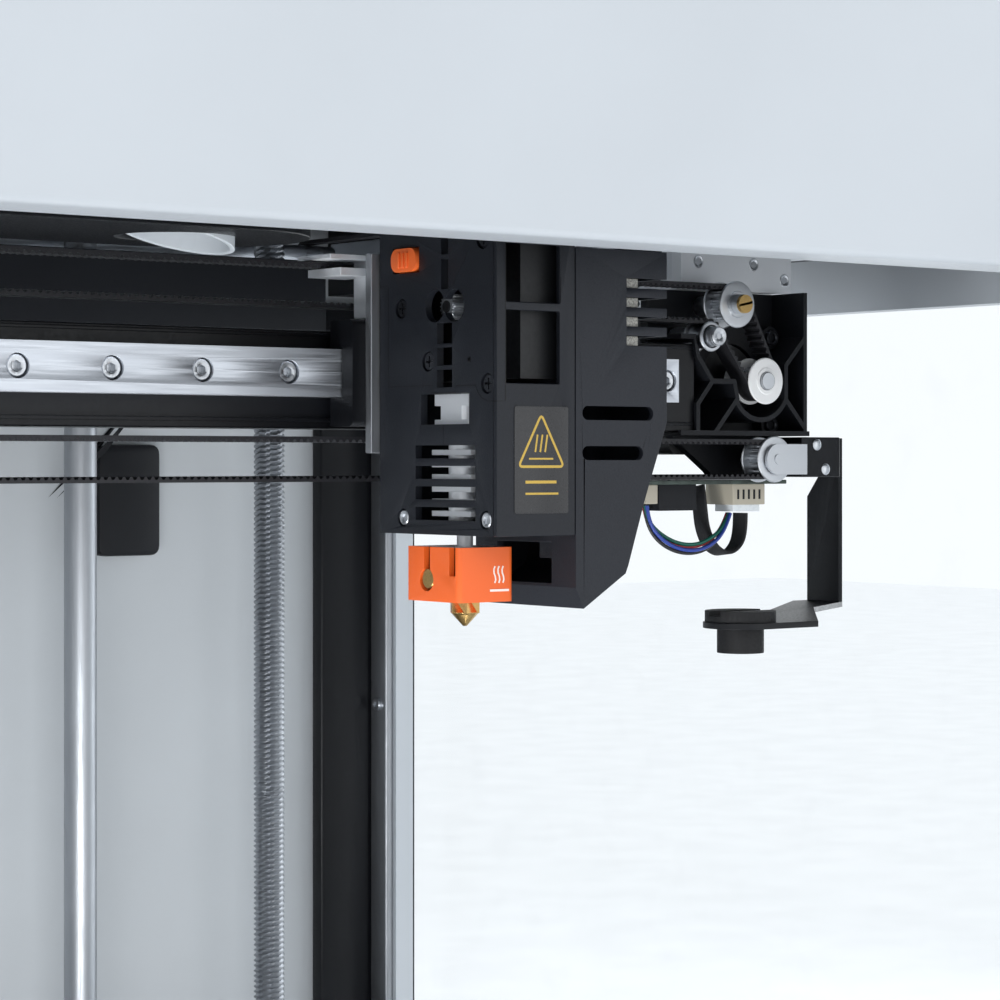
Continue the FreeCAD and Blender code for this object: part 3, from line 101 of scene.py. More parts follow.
def make_studio():
    world = bpy.data.worlds.new("studio")
    SCENE.world = world
    world.use_nodes = True
    background = world.node_tree.nodes["Background"]
    background.inputs["Color"].default_value = (0.955, 0.98, 1.0, 1)
    background.inputs["Strength"].default_value = 1.04
    SCENE.view_settings.view_transform = "Standard"
    area_light("key", (-0.9, -1.3, 1.3), (0.05, -0.1, 0.4), 1.0, 0.8, 3.5)
    area_light("front_fill", (0.55, -1.5, 0.55), (0.05, -0.15, 0.4), 0.9, 0.9, 1.5, (0.95, 0.98, 1.0))
    area_light("chamber_glow", (-0.06, -0.21, 0.185), (0.04, 0.205, 0.36), 0.30, 0.06, 1.1,
               (0.97, 0.99, 1.0))
    area_light("side_glow", (1.3, 0.0, 0.5), (0, 0, 0.4), 1.0, 1.0, 5, (0.93, 0.97, 1.0))

    mesh = bpy.data.meshes.new("floor")
    reach = 6.0
    mesh.from_pydata([(-reach, -reach, 0), (reach, -reach, 0), (reach, reach, 0), (-reach, reach, 0)],
                     [], [(0, 1, 2, 3)])
    floor = bpy.data.objects.new("floor", mesh)
    SCENE.collection.objects.link(floor)
    floor.data.materials.append(painted("floor_paint", (0.93, 0.94, 0.95), 0.7, 3.0, 0.01))


# ---------------------------------------------------------------- materials
def new_material(name):
    material = bpy.data.materials.new(name)
    material.use_nodes = True
    nodes = material.node_tree.nodes
    return material, nodes, material.node_tree.links, nodes["Principled BSDF"]


def grain_input(nodes, links, scale, stretch=(1, 1, 1), detail=4.0):
    """Noise in the piece's own space, optionally drawn out along an axis."""
    place = nodes.new("ShaderNodeTexCoord")
    mapping = nodes.new("ShaderNodeMapping")
    mapping.inputs["Scale"].default_value = stretch
    noise = nodes.new("ShaderNodeTexNoise")
    noise.inputs["Scale"].default_value = scale
    noise.inputs["Detail"].default_value = detail
    links.new(place.outputs["Object"], mapping.inputs["Vector"])
    links.new(mapping.outputs["Vector"], noise.inputs["Vector"])
    return noise


def shade_ramp(nodes, links, source, dark, light, low_at=0.35, high_at=0.65):
    ramp = nodes.new("ShaderNodeValToRGB")
    ramp.color_ramp.elements[0].position = low_at
    ramp.color_ramp.elements[0].color = (*dark, 1)
    ramp.color_ramp.elements[1].position = high_at
    ramp.color_ramp.elements[1].color = (*light, 1)
    links.new(source.outputs["Fac"], ramp.inputs["Fac"])
    return ramp


def mapped(nodes, links, source, low_in, high_in, low_out, high_out):
    """The source's factor moved from one range to another."""
    node = nodes.new("ShaderNodeMapRange")
    values = (("From Min", low_in), ("From Max", high_in), ("To Min", low_out), ("To Max", high_out))
    for label, value in values:
        node.inputs[label].default_value = value
    links.new(source.outputs["Fac"], node.inputs["Value"])
    return node.outputs["Result"]


def vary(colour, amount):
    return tuple(min(1.0, max(0.0, c * (1 + amount))) for c in colour)


def finish_with(name, colour, rough, metallic, grain, bump, depth, stretch=(1, 1, 1), change=0.08,
                rough_change=0.08, specular=0.5, coat=0.0, blotch=14.0):
    """The common recipe: broad colour change, fine grain in the bump, uneven roughness."""
    material, nodes, links, shader = new_material(name)
    broad = grain_input(nodes, links, blotch, (1, 1, 1), 3.0)
    ramp = shade_ramp(nodes, links, broad, vary(colour, -change), vary(colour, change))
    links.new(ramp.outputs["Color"], shader.inputs["Base Color"])
    fine = grain_input(nodes, links, grain, stretch)
    uneven = mapped(nodes, links, fine, 0.3, 0.7, max(0.02, rough - rough_change),
                    min(1.0, rough + rough_change))
    links.new(uneven, shader.inputs["Roughness"])
    relief = nodes.new("ShaderNodeBump")
    relief.inputs["Strength"].default_value = bump
    relief.inputs["Distance"].default_value = depth
    links.new(fine.outputs["Fac"], relief.inputs["Height"])
    links.new(relief.outputs["Normal"], shader.inputs["Normal"])
    shader.inputs["Metallic"].default_value = metallic
    shader.inputs["Specular IOR Level"].default_value = specular
    if coat:
        shader.inputs["Coat Weight"].default_value = coat
        shader.inputs["Coat Roughness"].default_value = 0.2
    return material


def painted(name, colour, rough, grain=900.0, bump=0.12):
    return finish_with(name, colour, rough, 0.0, grain, bump, 0.00008, change=0.02)


def moulded(name, colour, rough=0.5, bump=0.5, specular=0.3):
    return finish_with(name, colour, rough, 0.0, 2600.0, bump, 0.00006, change=0.10, specular=specular)


def brushed(name, colour, rough, along):
    stretch = tuple(0.03 if axis == along else 1.0 for axis in "xyz")
    return finish_with(name, colour, rough, 1.0, 2400.0, 0.12, 0.00003, stretch, change=0.05,
                       rough_change=0.10)


def rubbery(name, colour, rough=0.65):
    return finish_with(name, colour, rough, 0.0, 1500.0, 0.25, 0.00005, change=0.12, specular=0.35)


def clear_pane(name):
    """Clear sheet that lets light straight through, with gloss at a slant and faint dust."""
    material, nodes, links, shader = new_material(name)
    nodes.remove(shader)
    out = nodes["Material Output"]
    see = nodes.new("ShaderNodeBsdfTransparent")
    see.inputs["Color"].default_value = (0.985, 0.995, 1.0, 1)
    gloss = nodes.new("ShaderNodeBsdfGlossy")
    gloss.inputs["Roughness"].default_value = 0.12
    edge = nodes.new("ShaderNodeFresnel")
    edge.inputs["IOR"].default_value = 1.12
    mix = nodes.new("ShaderNodeMixShader")
    links.new(edge.outputs["Fac"], mix.inputs["Fac"])
    links.new(see.outputs["BSDF"], mix.inputs[1])
    links.new(gloss.outputs["BSDF"], mix.inputs[2])
    film = mapped(nodes, links, grain_input(nodes, links, 60.0), 0.55, 0.8, 0.0, 0.03)
    haze = nodes.new("ShaderNodeBsdfDiffuse")
    haze.inputs["Color"].default_value = (0.9, 0.92, 0.95, 1)
    top = nodes.new("ShaderNodeMixShader")
    links.new(film, top.inputs["Fac"])
    links.new(mix.outputs["Shader"], top.inputs[1])
    links.new(haze.outputs["BSDF"], top.inputs[2])
    links.new(top.outputs["Shader"], out.inputs["Surface"])
    return material


LOOKS = (
    (painted, "white_shell", (0.565, 0.60, 0.64), 0.42, 700.0, 0.10),
    (painted, "grey_panel", (0.54, 0.565, 0.590), 0.5),
    (painted, "panel_white", (0.70, 0.74, 0.78), 0.45),
    (moulded, "black_plastic", (0.0070, 0.0078, 0.0105), 0.50, 0.5, 0.26),
    (moulded, "cover_plastic", (0.0085, 0.0102, 0.0150), 0.5, 0.7, 0.34),
    (moulded, "duct_plastic", (0.0130, 0.0150, 0.0210), 0.55, 0.8, 0.34),
    (finish_with, "black_metal", (0.0045, 0.0050, 0.0068), 0.38, 0.0, 1300.0, 0.15, 0.00008,
     {"change": 0.05, "specular": 0.28}),
    (finish_with, "black_screw", (0.03, 0.032, 0.038), 0.35, 0.7, 1800.0, 0.15, 0.00003),
    (brushed, "aluminium", (0.42, 0.435, 0.46), 0.48, "z"),
    (finish_with, "white_aluminium", (0.78, 0.80, 0.83), 0.45, 0.55, 1500.0, 0.1, 0.00003),
    (brushed, "steel", (0.62, 0.65, 0.70), 0.42, "x"),
    (brushed, "steel_upright", (0.36, 0.375, 0.40), 0.42, "z"),
    (finish_with, "screw_steel", (0.60, 0.62, 0.65), 0.36, 1.0, 1200.0, 0.08, 0.00003),
    (rubbery, "rubber", (0.012, 0.012, 0.014)),
    (rubbery, "belt", (0.014, 0.014, 0.017), 0.55),
    (rubbery, "silicone_black", (0.004, 0.004, 0.005), 0.6),
    (finish_with, "sock", (0.86, 0.135, 0.018), 0.42, 0.0, 1400.0, 0.22, 0.00005, {"change": 0.05}),
    (finish_with, "button", (0.90, 0.155, 0.028), 0.4, 0.0, 2000.0, 0.2, 0.00004, {"change": 0.04}),
    (finish_with, "brass", (0.56, 0.37, 0.14), 0.30, 1.0, 1800.0, 0.12, 0.00003, (1, 1, 12.0)),
    (finish_with, "gold_ink", (0.55, 0.37, 0.07), 0.45, 0.35, 2500.0, 0.1, 0.00002),
    (finish_with, "white_ink", (0.95, 0.82, 0.76), 0.5, 0.0, 2500.0, 0.1, 0.00002),
    (finish_with, "label_film", (0.020, 0.020, 0.022), 0.30, 0.0, 900.0, 0.05, 0.00002),
    (finish_with, "sinter", (0.42, 0.41, 0.38), 0.6, 0.6, 3800.0, 1.0, 0.0003,
     {"change": 0.35, "blotch": 2600.0}),
    (painted, "motor", (0.006, 0.0065, 0.008), 0.5),
    (finish_with, "board", (0.045, 0.065, 0.055), 0.35, 0.0, 900.0, 0.1, 0.00003,
     {"change": 0.3, "blotch": 300.0}),
    (finish_with, "board_green", (0.02, 0.12, 0.07), 0.35, 0.0, 900.0, 0.1, 0.00003,
     {"change": 0.3, "blotch": 300.0}),
    (finish_with, "nylon", (0.46, 0.42, 0.34), 0.45, 0.0, 900.0, 0.1, 0.00003),
    (finish_with, "latch", (0.72, 0.76, 0.80), 0.3, 0.0, 900.0, 0.1, 0.00003),
    (finish_with, "pulley_white", (0.88, 0.88, 0.88), 0.42, 0.0, 300.0, 0.02, 0.00001, {"change": 0.02}),
    (finish_with, "screen", (0.006, 0.007, 0.010), 0.08, 0.0, 40.0, 0.02, 0.00001, {"coat": 0.5}),
    (finish_with, "bed_plate", (0.16, 0.165, 0.175), 0.4, 0.8, 1400.0, 0.15, 0.00004),
    (finish_with, "print_sheet", (0.022, 0.022, 0.024), 0.55, 0.2, 3500.0, 0.9, 0.00012, {"change": 0.25}),
    (finish_with, "wire_blue", (0.02, 0.05, 0.30), 0.4, 0.0, 1200.0, 0.1, 0.00002),
    (finish_with, "wire_red", (0.42, 0.03, 0.04), 0.4, 0.0, 1200.0, 0.1, 0.00002),
    (finish_with, "wire_green", (0.0, 0.10, 0.07), 0.4, 0.0, 1200.0, 0.1, 0.00002),
    (finish_with, "wire_black", (0.012, 0.012, 0.013), 0.4, 0.0, 1200.0, 0.1, 0.00002),
)
MAT = {}


def make_materials():
    """Builds every look. A row is recipe, name, its values in order, and any named values last."""
    for recipe, name, *values in LOOKS:
        named = values.pop() if isinstance(values[-1], dict) else {}
        MAT[name] = recipe(name, *values, **named)
    MAT["pane"] = clear_pane("pane")


# ---------------------------------------------------------------- mesh helpers
def smooth_by_angle(mesh, degrees=35.0):
    mesh.shade_smooth()
    mesh.set_sharp_from_angle(angle=math.radians(degrees))


def add_object(name, mesh, body, material, degrees=35.0):
    obj = bpy.data.objects.new(name, mesh)
    SCENE.collection.objects.link(obj)
    obj.data.materials.clear()
    obj.data.materials.append(MAT[material])
    smooth_by_angle(obj.data, degrees)
    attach(obj, body)
    return obj


def from_bmesh(name, bm, body, material, degrees=35.0):
    mesh = bpy.data.meshes.new(name)
    bmesh.ops.recalc_face_normals(bm, faces=bm.faces)
    bm.to_mesh(mesh)
    bm.free()
    return add_object(name, mesh, body, material, degrees)


BODY_OF = {}
for body_name, members in frame["record"]["behaviour"]["bodies"].items():
    for member in members:
        BODY_OF[member] = body_name


def round_edges(obj, width_mm, segments):
    edge = obj.modifiers.new("edges", "BEVEL")
    edge.width = width_mm * MM
    edge.segments = segments
    edge.limit_method = "ANGLE"
    edge.angle_limit = math.radians(40)
    edge.harden_normals = True
    return edge


def cut_up(bm):
    """Splits the wide faces with openings in them, which rounding would tear, into triangles."""
    wide = [face for face in bm.faces if len(face.verts) > len(set(face.verts)) or len(face.verts) > 24]
    bmesh.ops.triangulate(bm, faces=wide, quad_method="BEAUTY", ngon_method="EAR_CLIP")


def softened(node, width_mm, material, segments=2):
    """A copy of a CAD node with its sharp edges rounded, in place of the node."""
    bm = bmesh.new()
    bm.from_mesh(NODES[node].data)
    bmesh.ops.remove_doubles(bm, verts=bm.verts, dist=1e-6)
    bmesh.ops.dissolve_limit(bm, angle_limit=math.radians(0.6), verts=bm.verts, edges=bm.edges)
    cut_up(bm)
    obj = from_bmesh(node + "_finished", bm, BODY_OF[node], material)
    edge = round_edges(obj, width_mm, segments)
    edge.use_clamp_overlap = True
    edge.miter_outer = "MITER_ARC"
    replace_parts(obj, node)
    return obj


def islands(bm):
    """Groups of connected faces, in the order of their first faces."""
    seen = set()
    for start in bm.faces:
        if start in seen:
            continue
        seen.add(start)
        group, queue = [start], [start]
        while queue:
            for edge in queue.pop().edges:
                for face in edge.link_faces:
                    if face not in seen:
                        seen.add(face)
                        group.append(face)
                        queue.append(face)
        yield group


def solids_of(node):
    """The node's separate solids as new meshes, in the node's own order."""
    bm = bmesh.new()
    bm.from_mesh(NODES[node].data)
    bmesh.ops.remove_doubles(bm, verts=bm.verts, dist=1e-6)
    found = []
    for group in islands(bm):
        keys = {}
        piece = bmesh.new()
        for face in group:
            corners = []
            for vert in face.verts:
                if vert not in keys:
                    keys[vert] = piece.verts.new(vert.co)
                corners.append(keys[vert])
            piece.faces.new(corners)
        bmesh.ops.dissolve_limit(piece, angle_limit=math.radians(0.6), verts=piece.verts, edges=piece.edges)
        found.append(piece)
    bm.free()
    return found


def size_of(bm):
    spots = [v.co for v in bm.verts]
    return [max(spot[i] for spot in spots) - min(spot[i] for spot in spots) for i in range(3)]


ANY = (0, 0, 0)


def split_node(node, width_mm, *rules):
    """Puts one finished piece in place of each solid of a node.

    A rule is (least x, y and z in mm), name, material, and the numbers that go into the name in turn.
    The first rule that the solid is larger than holds.
    """
    used = {}
    for bm in solids_of(node):
        size = size_of(bm)
        name, material, *numbers = next(rule[1:] for rule in rules if all(
            length > least * MM for length, least in zip(size, rule[0])))
        used[name] = used.get(name, -1) + 1
        if numbers:
            name = name % numbers[used[name]]
        obj = from_bmesh(name, bm, BODY_OF[node], material)
        round_edges(obj, width_mm, 2)
        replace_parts(obj, node)


def skin(bm, rings, capped=True):
    """Joins rings of as many points each with faces, and closes both ends."""
    for lower, upper in zip(rings, rings[1:]):
        count = len(lower)
        for n in range(count):
            bm.faces.new((lower[n], lower[(n + 1) % count], upper[(n + 1) % count], upper[n]))
    if capped:
        bm.faces.new(rings[0])
        bm.faces.new(rings[-1])


def turned_ring(bm, centre, axis, steps, height, radius_at):
    """A ring of points round an axis. radius_at gives the radius for a point's number and angle, in mm."""
    turn = Vector(UP).rotation_difference(Vector(axis)).to_matrix()
    ring = []
    for n in range(steps):
        a = 2 * math.pi * n / steps
        r = radius_at(n, a)
        spot = Vector((r * math.cos(a), r * math.sin(a), height)) * MM
        ring.append(bm.verts.new(Vector(centre) + turn @ spot))
    return ring


def turned_rings(bm, profile, centre, axis, steps):
    """One round ring for each (radius, height) of the profile."""
    return [turned_ring(bm, centre, axis, steps, height, lambda n, a: radius) for radius, height in profile]


def revolve(profile, centre, axis, steps=32):
    """A solid of revolution. profile lists (radius, height) from one end of the axis to the other."""
    bm = bmesh.new()
    skin(bm, turned_rings(bm, profile, centre, axis, steps))
    return bm


def open_ring(profile, centre, axis, steps=48):
    """A closed ring of revolution: the profile's last point joins its first."""
    bm = bmesh.new()
    rings = turned_rings(bm, profile, centre, axis, steps)
    skin(bm, rings + rings[:1], capped=False)
    return bm


def merge(target, source):
    """Adds one bmesh's faces to another and frees the first."""
    mesh = bpy.data.meshes.new("merge")
    source.to_mesh(mesh)
    source.free()
    target.from_mesh(mesh)
    bpy.data.meshes.remove(mesh)


def prism(points, centre, axis, side, height, top_scale=1.0):
    """A prism on a flat outline of (u, v) points, side gives the u direction, axis the height."""
    bm = bmesh.new()
    w = Vector(axis).normalized()
    u = Vector(side).normalized()
    v = w.cross(u)
    base = [bm.verts.new(Vector(centre) + (u * a + v * b) * MM) for a, b in points]
    top = [bm.verts.new(Vector(centre) + (u * a + v * b) * MM * top_scale + w * height * MM)
           for a, b in points]
    skin(bm, [base, top])
    return bm


def brick(a, b):
    """A block between two opposite corners, given in any order."""
    bm = bmesh.new()
    bmesh.ops.create_cube(bm, size=1.0)
    lo, hi = Vector(map(min, a, b)), Vector(map(max, a, b))
    for vert in bm.verts:
        vert.co = Vector(((lo[i] + hi[i]) / 2 + vert.co[i] * (hi[i] - lo[i]) for i in range(3)))
    return bm


def bevel_all(bm, width_mm, segments=2):
    edges = [e for e in bm.edges if len(e.link_faces) == 2 and e.calc_face_angle(0) > 0.6]
    bmesh.ops.bevel(bm, geom=edges, offset=width_mm * MM, segments=segments, profile=0.5, affect="EDGES",
                    clamp_overlap=True)


def socket_screw(bm, centre, axis, head, height, key):
    """A cylinder head with a chamfer and a hexagon socket, its outer face at centre + axis * height."""
    steps = 24
    chamfer = min(0.35, head * 0.12)

    def hexagon(n, a):
        sector = (a + math.pi / 6) % (math.pi / 3) - math.pi / 6
        return key * math.cos(math.pi / 6) / math.cos(sector)

    rings = turned_rings(bm, ((head, 0), (head, height - chamfer), (head - chamfer, height),
                              (key + 0.25, height)), centre, axis, steps)
    for level in (height - 0.2, height - height * 0.55):
        rings.append(turned_ring(bm, centre, axis, steps, level, hexagon))
    skin(bm, rings)


def screws(name, body, material, places, axis, head, height, key):
    bm = bmesh.new()
    for place in places:
        socket_screw(bm, place, axis, head, height, key)
    return from_bmesh(name, bm, body, material, 30)


def flat_plate(name, body, material, outlines, thickness, bevel, origin, across, up):
    """A sheet with holes: the first outline is its edge, the others are cut out. Points are in mm."""
    curve = bpy.data.curves.new(name, "CURVE")
    curve.dimensions = "2D"
    curve.fill_mode = "BOTH"
    curve.extrude = (thickness / 2 - bevel) * MM
    curve.bevel_depth = bevel * MM
    curve.bevel_resolution = 1
    curve.offset = -bevel * MM
    for outline in outlines:
        spline = curve.splines.new("POLY")
        spline.points.add(len(outline) - 1)
        for point, (a, b) in zip(spline.points, outline):
            point.co = (a * MM, b * MM, 0, 1)
        spline.use_cyclic_u = True
    holder = bpy.data.objects.new(name + "_curve", curve)
    mesh = bpy.data.meshes.new_from_object(holder)
    bpy.data.objects.remove(holder)
    u, v = Vector(across), Vector(up)
    place = Matrix((u, v, u.cross(v))).transposed().to_4x4()
    place.translation = Vector(origin)
    mesh.transform(place)
    bm = bmesh.new()
    bm.from_mesh(mesh)
    bmesh.ops.remove_doubles(bm, verts=bm.verts, dist=1e-7)
    bpy.data.meshes.remove(mesh)
    return from_bmesh(name, bm, body, material, 40)


def circle(x, y, radius, steps=28):
    return [(x + radius * math.cos(2 * math.pi * n / steps), y + radius * math.sin(2 * math.pi * n / steps))
            for n in range(steps)]


def rounded_box(x0, x1, y0, y1, radius, steps=5):
    points = []
    for cx, cy, start in ((x1 - radius, y1 - radius, 0), (x0 + radius, y1 - radius, 90),
                          (x0 + radius, y0 + radius, 180), (x1 - radius, y0 + radius, 270)):
        for n in range(steps + 1):
            a = math.radians(start + 90 * n / steps)
            points.append((cx + radius * math.cos(a), cy + radius * math.sin(a)))
    return points


def ribbon_line(bm, points, width, origin, across, up, height, closed=False):
    """A raised line of one width that follows flat points, for printed marks."""
    u, v = Vector(across), Vector(up)
    w = u.cross(v)
    count = len(points)
    pairs = []
    for n, (x, y) in enumerate(points):
        before = points[(n - 1) % count] if closed or n else points[0]
        after = points[(n + 1) % count] if closed or n < count - 1 else points[-1]
        dx, dy = after[0] - before[0], after[1] - before[1]
        run = math.hypot(dx, dy) or 1.0
        nx, ny = -dy / run * width / 2, dx / run * width / 2
        pair = []
        for lift in (0, height):
            for side in (1, -1):
                spot = Vector(origin) + (u * (x + side * nx) + v * (y + side * ny) + w * lift) * MM
                pair.append(bm.verts.new(spot))
        pairs.append(pair)
    links = list(zip(pairs, pairs[1:])) + ([(pairs[-1], pairs[0])] if closed else [])
    for a, b in links:
        for i, j in ((2, 3), (0, 2), (3, 1), (1, 0)):
            bm.faces.new((a[i], a[j], b[j], b[i]))
    if not closed:
        for end in (pairs[0], pairs[-1]):
            bm.faces.new((end[0], end[1], end[3], end[2]))


# ---------------------------------------------------------------- belts and pulleys
PITCH = 2.0
BELT_PITCH_RADIUS = 5.1
IDLER_BELT_RADIUS = 4.35
BELT_WIDTH = 6.0


def loop_path(wheels, step=0.4):
    """Points and inward directions along a belt round wheels of (x, z, radius, turn) in mm."""
    count = len(wheels)
    runs = []
    for n in range(count):
        xa, za, ra, sa = wheels[n]
        xb, zb, rb, sb = wheels[(n + 1) % count]
        oa, ob = -sa * ra, -sb * rb
        phi = math.atan2(zb - za, xb - xa)
        theta = phi - math.asin((oa - ob) / math.hypot(xb - xa, zb - za))
        nx, nz = -math.sin(theta), math.cos(theta)
        runs.append((theta, (xa + oa * nx, za + oa * nz), (xb + ob * nx, zb + ob * nz)))
    points = []
    for n in range(count):
        x, z, r, s = wheels[n]
        theta_in, theta_out = runs[n - 1][0], runs[n][0]
        sweep = (theta_out - theta_in) % (2 * math.pi)
        if s < 0:
            sweep -= 2 * math.pi
        steps = max(4, int(abs(sweep) * r / step))
        for k in range(steps):
            theta = theta_in + sweep * k / steps
            points.append((x + s * r * math.sin(theta), z - s * r * math.cos(theta), theta))
        theta, (xa, za), (xb, zb) = runs[n]
        run = math.hypot(xb - xa, zb - za)
        steps = max(2, int(run / step))
        for k in range(steps):
            points.append((xa + (xb - xa) * k / steps, za + (zb - za) * k / steps, theta))
    return points


def toothed_belt(name, wheels, mid, body, to_world):
    """A belt loop with round-topped teeth on its inner side. to_world turns (x, z, across) into a place."""
    path = loop_path(wheels)
    lengths = [0.0]
    for a, b in zip(path, path[1:] + path[:1]):
        lengths.append(lengths[-1] + math.hypot(b[0] - a[0], b[1] - a[1]))
    total = lengths[-1]
    teeth = round(total / PITCH)
    pitch = total / teeth
    bm = bmesh.new()
    samples = teeth * 6
    profile = (0.0, 0.0, 0.62, 0.75, 0.62, 0.0)
    rows = []
    k = 0
    for n in range(samples):
        s = total * n / samples
        while lengths[k + 1] < s:
            k += 1
        f = (s - lengths[k]) / max(1e-9, lengths[k + 1] - lengths[k])
        xa, za, ta = path[k]
        xb, zb, tb = path[(k + 1) % len(path)]
        tb = ta + (tb - ta + math.pi) % (2 * math.pi) - math.pi
        x, z, t = xa + (xb - xa) * f, za + (zb - za) * f, ta + (tb - ta) * f
        nx, nz = -math.sin(t), math.cos(t)
        inner = 0.1 + profile[n % 6]
        outer = -0.65
        row = []
        for offset in (outer, inner):
            for across in (-mid, mid):
                row.append(bm.verts.new(to_world(x + nx * offset, z + nz * offset, across)))
        rows.append(row)
    for n in range(samples):
        a, b = rows[n], rows[(n + 1) % samples]
        for i, j in ((0, 1), (1, 3), (3, 2), (2, 0)):
            bm.faces.new((a[i], a[j], b[j], b[i]))
    return from_bmesh(name, bm, body, "belt", 25)


def in_plane(node):
    """The middle of a wheel node as (x, z) in mm."""
    spot = middle(node) / MM
    return spot.x, spot.z


def make_x_belts():
    y = middle("x_belts").y
    r = BELT_PITCH_RADIUS

    def place(x, z, across):
        return Vector((x * MM, y + across * MM, z * MM))

    p1, p2 = in_plane("right_upper_pulley"), in_plane("right_return_idler")
    p3, left_up = in_plane("right_motor_pulley"), in_plane("left_upper_pulley")
    upper = [(*left_up, r, 1), (*p2, IDLER_BELT_RADIUS, -1), (*p3, r, 1), (*p1, r, 1)]
    lower = [(*in_plane("left_motor_pulley"), r, 1), (*in_plane("right_lower_pulley"), r, 1)]
    for name, wheels in (("upper_belt", upper), ("lower_belt", lower)):
        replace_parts(toothed_belt(name, wheels, BELT_WIDTH / 2, "gantry", place), "x_belts")


def wheel_parts(name, node, body, axis, front, teeth, flange, width, shaft, look, hub=0.0):
    """A belt wheel: grooved barrel, two flanges and a boss. front is the middle of its front face."""
    root = BELT_PITCH_RADIUS - 0.7 - 0.15
    steps = teeth * 6 if teeth else 48

    def groove(n, a):
        return root - (0.0, 0.0, 0.0, 0.6, 0.75, 0.6)[n % 6] if teeth else flange - 1.0

    bm = bmesh.new()
    rows = [turned_ring(bm, front, axis, steps, height, groove) for height in (0.7, width - 0.7)]
    skin(bm, rows, capped=False)
    barrel = from_bmesh(name + "_barrel", bm, body, look[0], 30)
    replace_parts(barrel, node)
    bm = bmesh.new()
    face = [(shaft, 0.0), (shaft + 0.25, -0.25), (flange * 0.55, -0.25), (flange * 0.58, 0.0),
            (flange - 0.9, 0.0), (flange - 0.25, 0.05), (flange, 0.3), (flange, 0.6), (flange - 0.3, 0.75),
            (shaft, 0.75)]
    back = [(shaft, width - 0.75), (flange - 0.3, width - 0.75), (flange, width - 0.55),
            (flange, width - 0.2), (flange - 0.3, width), (shaft, width)]
    boss = [(shaft, width), (flange - 0.6, width), (flange - 0.6, width + hub), (shaft, width + hub)]
    for profile in (face, back, boss) if hub else (face, back):
        merge(bm, open_ring(profile, front, axis))
    flanges = from_bmesh(name + "_flanges", bm, body, look[1], 30)
    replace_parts(flanges, node)


def slotted_end(name, body, centre, radius, material, slot_angle=12):
    """A round pin end with a driver's slot across it, facing -Y."""
    bm = bmesh.new()
    c, s = math.cos(math.radians(slot_angle)), math.sin(math.radians(slot_angle))
    half = 0.35
    for side in (1, -1):
        points = []
        for n in range(17):
            a = math.acos(half / radius) - math.pi / 2
            angle = a + (math.pi - 2 * a) * n / 16
            points.append((radius * math.cos(angle), side * radius * math.sin(angle)))
        points = [(x * c - z * s, x * s + z * c) for x, z in points]
        if side < 0:
            points.reverse()
        merge(bm, prism(points, centre, FORWARD, RIGHT, 1.0, 0.97))
    merge(bm, revolve([(radius, 0), (radius, 0.4)], centre + Vector((0, 0.4 * MM, 0)), FORWARD))
    return from_bmesh(name, bm, body, material, 30)


def make_pulleys():
    for side, wheel in (("right", "upper"), ("left", "upper"), ("right", "lower"), ("right", "motor"),
                        ("left", "motor"), ("right", "return")):
        node = "%s_%s_%s" % (side, wheel, "idler" if wheel == "return" else "pulley")
        body = "pulley_%s_%s" % (side, wheel)
        lo, hi = low(node), high(node)
        spot = middle(node)
        front = Vector((spot.x, lo.y, spot.z))
        motor, smooth = wheel == "motor", wheel == "return"
        look = ("screw_steel", "pulley_white" if motor else "screw_steel")
        wheel_parts(node + "_wheel", node, body, BACKWARD, front, 0 if smooth else 16,
                    (hi.x - lo.x) / 2 / MM, 7.6, 2.6 if motor else 1.6, look, hub=4.0 if motor else 0.0)
        if smooth:
            race = open_ring([(2.9, -0.05), (3.35, -0.05), (3.35, 0.2), (2.9, 0.2)], front, BACKWARD)
            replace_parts(from_bmesh(node + "_race", race, body, "black_screw", 30), node)


# ---------------------------------------------------------------- print heads
INNER_FACE = -6.6          # the head's own x, with its nozzle at 0
FRONT_FACE = -21.5         # the head's own y, with its nozzle at 0


def head_place(side):
    """Turns a head's own (x, y, z) in mm into a place. x runs outwards from its inner face."""
    sign = 1 if side == "right" else -1
    lo, hi = low("head_cover_" + side), high("head_cover_" + side)
    inner_x = lo.x if sign > 0 else hi.x
    nozzle_y = lo.y + 20 * MM

    def place(x, y, z):
        return Vector((inner_x + sign * (x - INNER_FACE) * MM, nozzle_y + y * MM, lo.z + z * MM))

    return place, sign


def flipped(points, sign):
    return [(sign * x, z) for x, z in points]


def cross_screw(bm, centre, axis, head, height):
    """A flat head with a sunk cross, its outer face at centre + axis * height."""
    steps = 32

    def cross(n, a):
        near = min(abs(math.sin(a)), abs(math.cos(a)))
        return head * 0.62 if near < 0.2 else head * 0.22

    rings = turned_rings(bm, ((head, 0), (head, height * 0.7), (head * 0.9, height), (head * 0.7, height)),
                         centre, axis, steps)
    for level in (height, height * 0.3):
        rings.append(turned_ring(bm, centre, axis, steps, level, cross))
    skin(bm, rings)


def marks(name, body, material, lines, origin, across, up, height=0.03):
    """Printed lines: each is (points, width, closed)."""
    bm = bmesh.new()
    for points, width, closed in lines:
        ribbon_line(bm, points, width, origin, across, up, height, closed)
    return from_bmesh(name, bm, body, material)


def round_corners(points, radius, steps=4):
    """The outline with each corner replaced by a short curve."""
    smooth = []
    count = len(points)
    for n in range(count):
        before, at, after = Vector(points[n - 1]), Vector(points[n]), Vector(points[(n + 1) % count])
        a = at + (before - at).normalized() * radius
        b = at + (after - at).normalized() * radius
        for k in range(steps + 1):
            t = k / steps
            spot = a * (1 - t) ** 2 + at * 2 * t * (1 - t) + b * t * t
            smooth.append((spot.x, spot.y))
    return smooth


